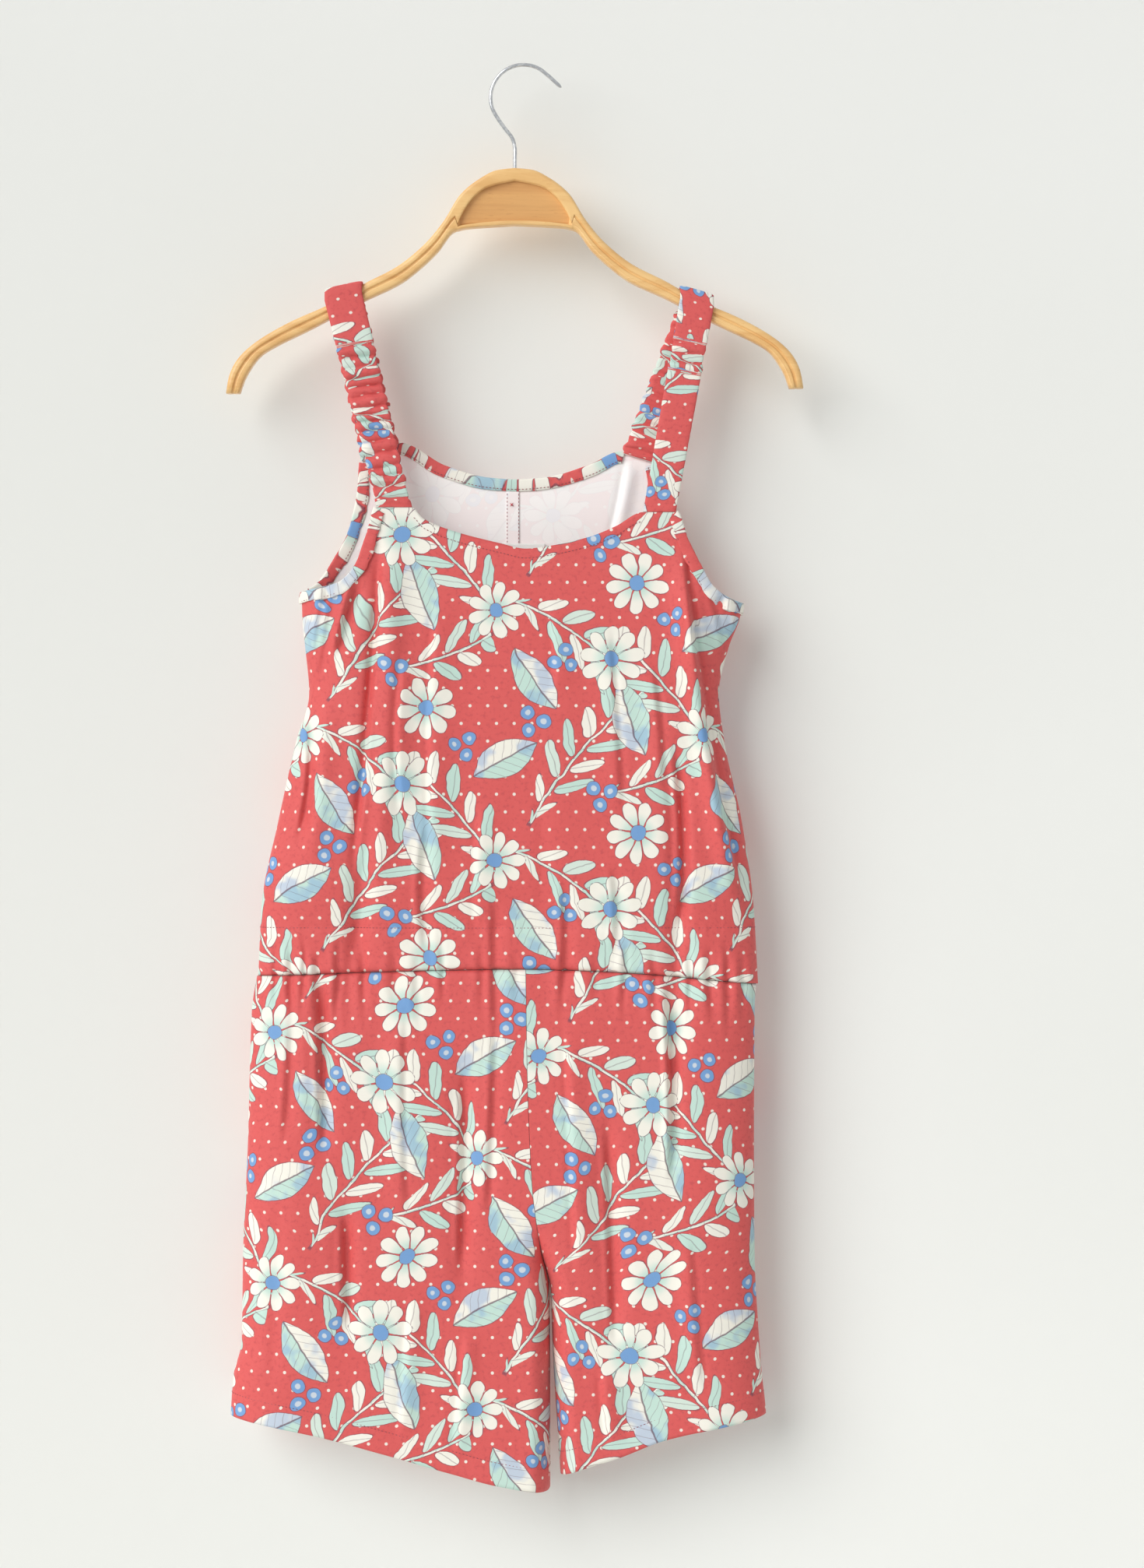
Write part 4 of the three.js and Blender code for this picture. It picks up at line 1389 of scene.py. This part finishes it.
RUCHE_SPACING = 7.8
RUCHE_DEPTH = 4.0
RUCHE_HIDDEN = 7.5  # length of cloth drawn into each crease


def ruches(run, across, seed):
    """Height of gathered cloth, 0 in a crease and about 1 on the puffs between, and how many
    creases' worth of cloth lies before each place."""
    slant = 0.35 * (across - 0.5) * wander(run / 33, seed + 1) + 0.12 * wander(across * 2.5 + run / 9, seed + 2)
    phase = run / RUCHE_SPACING + 0.6 * wander(run / 24, seed) + slant
    beat = 2 * (phase - np.floor(phase)) - 1
    size = 0.72 + 0.28 * np.sin(np.floor(phase) * 2.4 + seed)
    height = size * (1 - np.abs(beat) ** 2.2) + 0.16 * wander(run / 2.6 + across * 1.7, seed + 3)
    drawn_in = np.floor(phase) + 0.5 * (ease((beat - 0.66) / 0.34) - ease((-beat - 0.66) / 0.34))
    return height, drawn_in


def build_strap(side, strap):
    stations, columns = 440, 23
    coarse = np.linspace(0, 1, 2000)
    middle = mix(strap_edge(strap, False, coarse), strap_edge(strap, True, coarse), 0.5)
    share, length = even_path(middle, stations)
    left, right = strap_edge(strap, False, share), strap_edge(strap, True, share)
    across = np.linspace(0, 1, columns)[None, :]
    run = np.linspace(0, length, stations)[:, None]
    centre = ((left + right) / 2)[:, None, :]
    half = ((right - left) / 2)[:, None, :]
    gathered = gather_share(side, run, length)
    seed = 3 if side == "left" else 8
    outer_puff, drawn_in = ruches(run, across, seed)
    inner_puff, _ = ruches(run, across, seed + 20)
    signed = 2 * across - 1
    pinch = np.where(signed < 0, ruches(run, 0.0, seed)[0], ruches(run, 1.0, seed)[0])
    width = 1 - gathered * (0.12 - 0.15 * pinch)
    band = centre + half * (signed * width)[..., None]
    ahead = unit(np.gradient(centre[:, 0], axis=0))
    normal = unit(np.cross(unit(half[:, 0]), ahead))
    from_middle = centre[:, 0] - np.array([centre[..., 0].mean(), 0, -180])
    outward = np.sign(np.sum(normal * from_middle, axis=1))
    normal = (normal * np.where(outward == 0, 1, outward)[:, None])[:, None, :]
    rim = np.abs(signed) ** 6
    join = ease((run / length - 0.95) / 0.04) * (1 - rim)
    rise = gathered * (RUCHE_DEPTH * outer_puff - 1.9) * (1 - 0.7 * rim) - 0.9 * rim + 1.4 * join
    swell = gathered * (0.6 * RUCHE_DEPTH * inner_puff - 0.3) * (1 - 0.85 * rim) * ease(abs(run / length - 0.5) / 0.1)
    outer = band + normal * rise[..., None]
    inner = band - normal * (STRAP_THICKNESS - 0.6 * rim + 0.8 * swell + 0.3 * gathered)[..., None]
    rings = np.concatenate([outer, inner[:, ::-1]], axis=1)
    cut_at = 30 if side == "left" else 190
    place = run * 1.1 + RUCHE_HIDDEN * drawn_in * ease(gathered / 0.5)
    flat = np.stack(np.broadcast_arrays((across - 0.5) * 27 + cut_at, place), -1)
    flats = np.concatenate([flat, flat[:, ::-1]], axis=1).reshape(-1, 2)
    piece = sweep_tube(f"strap_{side}_cloth", rings, flats, [material("printed_viscose", printed_cloth)])
    return face_outwards(piece)


def gather_share(side, run, length):
    """How strongly the strap is drawn up at each place along it."""
    share = run / length
    if side == "left":
        return ease(share / 0.02) * ease((0.405 - share) / 0.02) + ease((share - 0.6) / 0.05)
    few = 0.8 * ease((share - 0.33) / 0.02) * ease((0.415 - share) / 0.02)
    return few + ease((share - 0.58) / 0.05) + 0.1


class ROMPER_OT_bindings(bpy.types.Operator):
    """Build the bindings round the back neck and both armholes"""

    bl_idname = "romper.bindings"
    bl_label = "Bindings"

    def execute(self, context):
        for name, runs in BINDINGS.items():
            piece = build_binding(name, runs)
            settle(piece, "printed_cloth", name)
            length = binding_length(runs)
        return {"FINISHED"}


BINDING_WIDTH = 7.5
BINDING_THICKNESS = 0.8
BINDING_CUT = 21
BINDINGS = {
    "neck_binding": (("back_bodice_left", -95.5, BACK_CENTRE_X - 0.6), ("back_bodice_right", BACK_CENTRE_X + 0.6, 75)),
    "armhole_binding_left": (("front_bodice", -108.8, -170), ("back_bodice_left", -170, -121.2)),
    "armhole_binding_right": (("front_bodice", 113, 170), ("back_bodice_right", 170, 98.3)),
}


def across_at(panel, x):
    low, high = 0.0, 1.0
    for _ in range(40):
        middle = (low + high) / 2
        if panel.place(middle, panel.top(np.array(middle)))[0] < x:
            low = middle
        else:
            high = middle
    return (low + high) / 2


def binding_path(runs):
    """Points along the bound edge, each with its normal and the way into the cloth."""
    edges, normals, inwards = [], [], []
    for name, from_x, to_x in runs:
        panel = PANELS[name]
        fine = np.linspace(across_at(panel, from_x), across_at(panel, to_x), 1500)
        across = np.interp(even_path(panel.skin(fine, panel.top(fine)), 130)[0], np.linspace(0, 1, 1500), fine)
        drop = panel.top(across)
        edge = panel.skin(across, drop)
        step = 0.002
        before, after = np.clip(across - step, 0, 1), np.clip(across + step, 0, 1)
        sideways = panel.skin(after, drop) - panel.skin(before, drop)
        down = panel.skin(across, drop + 0.5) - panel.skin(across, drop - 0.5)
        normal = unit(np.cross(down, sideways)) * (1 if panel.face == "front" else -1)
        tangent = unit(np.gradient(edge, axis=0))
        inward = unit(np.cross(normal, tangent))
        inward *= np.where(np.median(inward[:, 2]) > 0, -1, 1)
        edges.append(edge)
        normals.append(normal)
        inwards.append(inward)
    return np.concatenate(edges), np.concatenate(normals), np.concatenate(inwards)


def binding_length(runs):
    edge = binding_path(runs)[0]
    return float(np.linalg.norm(np.diff(edge, axis=0), axis=1).sum())


def build_binding(name, runs):
    edge, normal, inward = binding_path(runs)
    run = np.concatenate([[0], np.cumsum(np.linalg.norm(np.diff(edge, axis=0), axis=1))])
    crumple = 0.25 if name == "neck_binding" else 1.0
    outer = BINDING_THICKNESS + 0.35
    section = []
    for depth, height in binding_outline(outer):
        wide = 1 + 0.12 * crumple * wander(run / 6, 2)
        puff = 1.0 * crumple * (0.5 + 0.5 * wander(run / 3.0 + depth / 5, 5)) * (height > 0.35)
        section.append(edge + inward * (depth * wide)[:, None] + normal * (height + puff)[:, None])
    rings = np.stack(section, axis=1)
    places = np.linspace(0, BINDING_CUT, rings.shape[1])
    flat = np.stack(np.broadcast_arrays(places[None, :] + 70, run[:, None]), -1).reshape(-1, 2)
    return face_outwards(sweep_tube(name + "_cloth", rings, flat, [material("printed_viscose", printed_cloth)]))


def binding_outline(outer):
    """The folded strip's section as (depth into the cloth, height off its skin)."""
    inner_face = -CLOTH - 0.35
    points = [(BINDING_WIDTH, 0.3), (BINDING_WIDTH + 0.1, 0.7), (BINDING_WIDTH - 0.4, outer)]
    points += [(BINDING_WIDTH * 0.6, outer + 0.1), (BINDING_WIDTH * 0.3, outer + 0.1), (0.4, outer)]
    middle = (outer + inner_face - BINDING_THICKNESS) / 2
    half = (outer - inner_face + BINDING_THICKNESS) / 2
    for angle in np.linspace(20, 160, 7):
        turn = math.radians(angle)
        points.append((-half * math.sin(turn), middle + half * math.cos(turn)))
    back = inner_face - BINDING_THICKNESS
    points += [(0.4, back), (BINDING_WIDTH * 0.5, back - 0.1), (BINDING_WIDTH - 0.4, back)]
    points += [(BINDING_WIDTH + 0.1, back + 0.3), (BINDING_WIDTH, inner_face + 0.05)]
    points += [(BINDING_WIDTH * 0.5, inner_face), (-0.2, inner_face), (-0.5, middle), (-0.2, 0.3)]
    points += [(BINDING_WIDTH * 0.5, 0.3)]
    return points


STITCH_PITCH = 2.7
STITCH_LENGTH = 2.0
STITCH_RADIUS = 0.34


def stitch_line(points, normals):
    """Small spindles of thread laid end to end along a line on the cloth."""
    run = np.concatenate([[0], np.cumsum(np.linalg.norm(np.diff(points, axis=0), axis=1))])
    starts = np.arange(0, run[-1] - STITCH_LENGTH, STITCH_PITCH)
    read = lambda values, at: np.stack([np.interp(at, run, values[:, i]) for i in range(3)], -1)
    head, tail = read(points, starts), read(points, starts + STITCH_LENGTH)
    normal = unit(read(normals, starts + STITCH_LENGTH / 2))
    ahead = unit(tail - head)
    aside = np.cross(ahead, normal)
    middle = (head + tail) / 2
    ring = [
        middle + normal * STITCH_RADIUS * 1.2,
        middle + aside * STITCH_RADIUS,
        middle - normal * STITCH_RADIUS,
        middle - aside * STITCH_RADIUS,
    ]
    corners = np.stack([head, *ring, tail], axis=1).reshape(-1, 3)
    faces = []
    for i in range(len(starts)):
        base = 6 * i
        for a, b in ((1, 2), (2, 3), (3, 4), (4, 1)):
            faces.append((base, base + b, base + a))
            faces.append((base + 5, base + a, base + b))
    return corners, faces


def skin_line(panel, across, drop, lift, inside=False):
    """A line on a panel's skin and its outward normals; inside is the cloth's other face."""
    across, drop = np.broadcast_arrays(np.asarray(across, float), np.asarray(drop, float))
    extra = panel.edge_relief_at(across, drop)
    points = panel.skin(across, drop, extra)
    step = 0.003
    before, after = np.clip(across - step, 0, 1), np.clip(across + step, 0, 1)
    sideways = panel.skin(after, drop, extra) - panel.skin(before, drop, extra)
    down = panel.skin(across, drop + 0.5, extra) - panel.skin(across, drop - 0.5, extra)
    normal = unit(np.cross(down, sideways)) * (1 if panel.face == "front" else -1)
    if inside:
        return points - normal * (CLOTH + lift), -normal
    return points + normal * lift, normal


def panel_stitches(name):
    """Every stitch line of one panel: neckline, casing, hem and the centre back seam."""
    panel = PANELS[name]
    across = np.linspace(0.004, 0.996, 400)
    lines = []
    if panel.top_edge is WAIST:
        lines.append(skin_line(panel, across, panel.foot(across) - HEM_DEPTH, 0.12))
        return lines
    lines.append(skin_line(panel, across, CASING_TOP, 0.15))
    if name == "front_bodice":
        neck = np.linspace(across_at(panel, -81), across_at(panel, 88), 300)
        lines.append(skin_line(panel, neck, panel.top(neck) + 7, 0.12))
        return lines
    left = name.endswith("left")
    x = BACK_CENTRE_X + (-ALLOWANCE_HALF + 0.6 if left else ALLOWANCE_HALF - 0.6)
    drop = np.linspace(BACK_TOP.read("drop", x) + 9, WAIST.read("drop", x) - 3, 300)
    place = across_at(panel, x)
    lines.append(skin_line(panel, np.full(300, place), drop, 0.7, inside=True))
    lines.append(skin_line(panel, np.full(300, place), drop, 0.1))
    return lines


ALLOWANCE_HALF = 4.9


def build_allowance():
    """The centre back seam's two allowances, pressed flat inside the back."""
    rows = 220
    strips, places = [], []
    for name, sign in (("back_bodice_left", -1), ("back_bodice_right", 1)):
        panel = PANELS[name]
        for share in np.linspace(1, 0, 5) if sign < 0 else np.linspace(0, 1, 5)[1:]:
            x = BACK_CENTRE_X + sign * max(share * ALLOWANCE_HALF, 0.2)
            drop = np.linspace(BACK_TOP.read("drop", x) + 1.5, WAIST.read("drop", x) - 2, rows)
            points, _ = skin_line(panel, np.full(rows, across_at(panel, x)), drop, 0.1, inside=True)
            points[:, 0] = x
            strips.append(points)
            places.append(np.stack([np.full(rows, x + 600.0), -drop], -1))
    skin, flat = np.stack(strips, axis=1), np.stack(places, axis=1)
    wrong = material("viscose_wrong_side", printed_cloth, True)
    return face_outwards(shell("centre_back_allowance", skin, 0.5, flat, [wrong, wrong], True))


def binding_stitches(name, runs):
    edge, normal, inward = binding_path(runs)
    deep = BINDING_WIDTH - 1.4
    height = BINDING_THICKNESS + 0.62
    outside = edge + inward * deep + normal * height
    inside = edge + inward * deep - normal * (height + CLOTH + 0.05)
    return [(outside, normal), (inside, -normal)]


def build_stitches():
    corners, faces = [], []
    lines = [line for name in PANELS for line in panel_stitches(name)]
    lines += [line for name, runs in BINDINGS.items() for line in binding_stitches(name, runs)]
    count = 0
    for points, normals in lines:
        new_corners, new_faces = stitch_line(points, normals)
        corners.append(new_corners)
        faces += [tuple(count + corner for corner in face) for face in new_faces]
        count += len(new_corners)
    rose = material("rose_thread", thread, colour(160, 88, 96))
    return new_object("seam_stitches", np.concatenate(corners), faces, [rose])


def build_tack():
    """The small thread tack at the centre of the back neck."""
    y = float(PANELS["back_bodice_right"].skin(0.01, 324)[1]) - CLOTH - 1.5
    points = [np.array([[-10.4, y, -322.6], [-7.4, y - 0.2, -325.4]]), np.array([[-7.6, y - 0.1, -322.4], [-10.2, y, -325.6]])]
    bars = [stitch_bar(line, 0.5) for line in points]
    corners = np.concatenate(bars)
    faces = []
    for base in (0, 6):
        for a, b in ((1, 2), (2, 3), (3, 4), (4, 1)):
            faces += [(base, base + b, base + a), (base + 5, base + a, base + b)]
    return new_object("neck_tack", corners, faces, [material("red_thread", thread, colour(196, 62, 74))])


def stitch_bar(line, radius):
    head, tail = line
    middle = (head + tail) / 2
    aside = unit(np.cross(tail - head, [0, 1, 0])) * radius
    out = np.array([0, -radius, 0])
    return np.array([head, middle + out, middle + aside, middle - out, middle - aside, tail])


class ROMPER_OT_stitches(bpy.types.Operator):
    """Build the pressed centre back seam, the rows of stitches and the tack"""

    bl_idname = "romper.stitches"
    bl_label = "Stitches"

    def execute(self, context):
        settle(build_allowance(), "printed_cloth")
        settle(build_stitches())
        settle(build_tack())
        return {"FINISHED"}


LABEL = {"left": -17, "right": 16, "top": 353, "foot": 372}


class ROMPER_OT_label(bpy.types.Operator):
    """Build the blank label inside the back neck"""

    bl_idname = "romper.label"
    bl_label = "Label"

    def execute(self, context):
        rows, columns = 24, 36
        drop = np.linspace(LABEL["top"], LABEL["foot"], rows)[:, None]
        x = np.linspace(LABEL["left"], LABEL["right"], columns)[None, :]
        reach = SEAM_GAP / 2 + DEPTHS.read("back", drop) - CLOTH - 2.4 + 0.5 * np.sin(x / 9 + drop / 14)
        points = np.stack(np.broadcast_arrays(x, reach, -drop), -1)
        flat = np.stack(np.broadcast_arrays(x, -drop), -1)
        satin = material("label_satin", plain_cloth, colour(244, 242, 238), colour(228, 226, 222))
        piece = shell("neck_label_cloth", points, 0.4, flat, [satin, satin], False)
        settle(face_outwards(piece), "label_cloth", "neck_label")
        return {"FINISHED"}


class ROMPER_OT_studio(bpy.types.Operator):
    """Build the pale wall and floor, the soft lights and the camera"""

    bl_idname = "romper.studio"
    bl_label = "Studio"

    def execute(self, context):
        low, high = CAD_BOX
        paint = Paint("studio_paint")
        mottle = paint.noise(paint.place(), 1.2, 2.0, 0.5)
        base = paint.blend(colour(239, 240, 236), colour(234, 235, 230), mottle.rise(0.3, 0.7))
        shader = paint.node("ShaderNodeBsdfPrincipled", {}, Base_Color=base, Roughness=0.9)
        behind = paint.node("ShaderNodeNewGeometry", {}, out=6)
        clear = paint.node("ShaderNodeBsdfTransparent", {})
        paint.finish(paint.node("ShaderNodeMixShader", {}, behind, shader, clear))
        foot = low.z - 0.5
        away = sizes().wall
        wall = flat_sheet("studio_wall", (-4, away, foot), (4, away, 2.4), paint.material)
        wall.visible_shadow = False
        floor_paint = Paint("studio_floor_paint")
        grain = floor_paint.noise(floor_paint.place(), 2.0, 2.0, 0.5)
        tone = floor_paint.blend(colour(238, 238, 235), colour(233, 233, 230), grain.rise(0.3, 0.7))
        floor_paint.surface(tone, grain.ramp(0.3, 0.7, 0.8, 0.9))
        floor = flat_sheet("studio_floor", (-4, -5, foot), (4, 4, foot), floor_paint.material)
        make_lights()
        make_camera()
        return {"FINISHED"}


def flat_sheet(name, low, high, paint):
    if low[2] == high[2]:
        corners = [(low[0], low[1], low[2]), (high[0], low[1], low[2]), (high[0], high[1], low[2])]
        corners.append((low[0], high[1], low[2]))
    else:
        corners = [(low[0], low[1], low[2]), (high[0], low[1], low[2]), (high[0], low[1], high[2])]
        corners.append((low[0], low[1], high[2]))
    mesh = bpy.data.meshes.new(name)
    mesh.from_pydata(corners, [], [(0, 1, 2, 3)])
    mesh.materials.append(paint)
    sheet = bpy.data.objects.new(name, mesh)
    bpy.context.scene.collection.objects.link(sheet)
    return sheet


def area_light(name, place, aim, size, power, tint=(1, 1, 1)):
    lamp = bpy.data.lights.new(name, "AREA")
    lamp.shape = "RECTANGLE"
    lamp.size, lamp.size_y = size
    lamp.energy = power
    lamp.color = tint
    holder = bpy.data.objects.new(name, lamp)
    holder.location = place
    holder.rotation_euler = (Vector(aim) - Vector(place)).to_track_quat("-Z", "Y").to_euler()
    bpy.context.scene.collection.objects.link(holder)


def make_lights():
    lamp = bpy.data.lights.new("soft_key", "SUN")
    lamp.energy = 2.2
    lamp.angle = math.radians(46)
    key = bpy.data.objects.new("soft_key", lamp)
    key.rotation_euler = Vector((-0.66, -0.7, 0.44)).to_track_quat("Z", "Y").to_euler()
    bpy.context.scene.collection.objects.link(key)
    area_light("soft_back", (-0.6, 2.6, 0.6), (0.0, 0.0, -0.55), (2.2, 2.0), 48)
    world = bpy.data.worlds.new("studio_air")
    bpy.context.scene.world = world
    world.use_nodes = True
    tree = world.node_tree
    tree.nodes.clear()
    light = tree.nodes.new("ShaderNodeBackground")
    light.inputs["Color"].default_value = colour(238, 238, 240)
    light.inputs["Strength"].default_value = 0.46
    shown = tree.nodes.new("ShaderNodeBackground")
    shown.inputs["Color"].default_value = colour(236, 236, 233)
    shown.inputs["Strength"].default_value = 1.0
    path = tree.nodes.new("ShaderNodeLightPath")
    either = tree.nodes.new("ShaderNodeMath")
    either.operation = "MAXIMUM"
    tree.links.new(path.outputs["Is Camera Ray"], either.inputs[0])
    tree.links.new(path.outputs["Is Glossy Ray"], either.inputs[1])
    blend = tree.nodes.new("ShaderNodeMixShader")
    output = tree.nodes.new("ShaderNodeOutputWorld")
    tree.links.new(either.outputs[0], blend.inputs[0])
    tree.links.new(light.outputs[0], blend.inputs[1])
    tree.links.new(shown.outputs[0], blend.inputs[2])
    tree.links.new(blend.outputs[0], output.inputs["Surface"])


CAMERA_AT = (0.036, -0.532)
CAMERA_AWAY = 2.6
FIELD_HEIGHT = 1.154


def make_camera():
    scene = bpy.context.scene
    scene.view_settings.view_transform = "Standard"
    camera = bpy.data.cameras.new("studio_camera")
    camera.sensor_width = 36
    camera.lens = 36 * CAMERA_AWAY / FIELD_HEIGHT
    camera.clip_start, camera.clip_end = 0.05, 50
    holder = bpy.data.objects.new("studio_camera", camera)
    holder.location = (CAMERA_AT[0], -CAMERA_AWAY - 0.02, CAMERA_AT[1])
    holder.rotation_euler = (math.pi / 2, 0, 0)
    scene.collection.objects.link(holder)
    scene.camera = holder


class ROMPER_PT_panel(bpy.types.Panel):
    """Buttons that build the romper, one group of pieces at a time"""

    bl_idname = "ROMPER_PT_panel"
    bl_label = "Romper"
    bl_space_type = "VIEW_3D"
    bl_region_type = "UI"
    bl_category = "Romper"

    def draw(self, context):
        for name in STEPS:
            self.layout.operator("romper." + name)


STEPS = ("hanger", "bodice", "legs", "straps", "bindings", "stitches", "label", "studio")
CLASSES = (
    RomperSizes,
    RomperColours,
    ROMPER_OT_hanger,
    ROMPER_OT_bodice,
    ROMPER_OT_legs,
    ROMPER_OT_straps,
    ROMPER_OT_bindings,
    ROMPER_OT_stitches,
    ROMPER_OT_label,
    ROMPER_OT_studio,
    ROMPER_PT_panel,
)


def register():
    for part in CLASSES:
        bpy.utils.register_class(part)
    bpy.types.Scene.romper_sizes = bpy.props.PointerProperty(type=RomperSizes)
    bpy.types.Scene.romper_colours = bpy.props.PointerProperty(type=RomperColours)


def unregister():
    del bpy.types.Scene.romper_sizes
    del bpy.types.Scene.romper_colours
    for part in reversed(CLASSES):
        bpy.utils.unregister_class(part)


def main():
    register()
    for name in STEPS:
        getattr(bpy.ops.romper, name)()


if __name__ == "__main__":
    main()
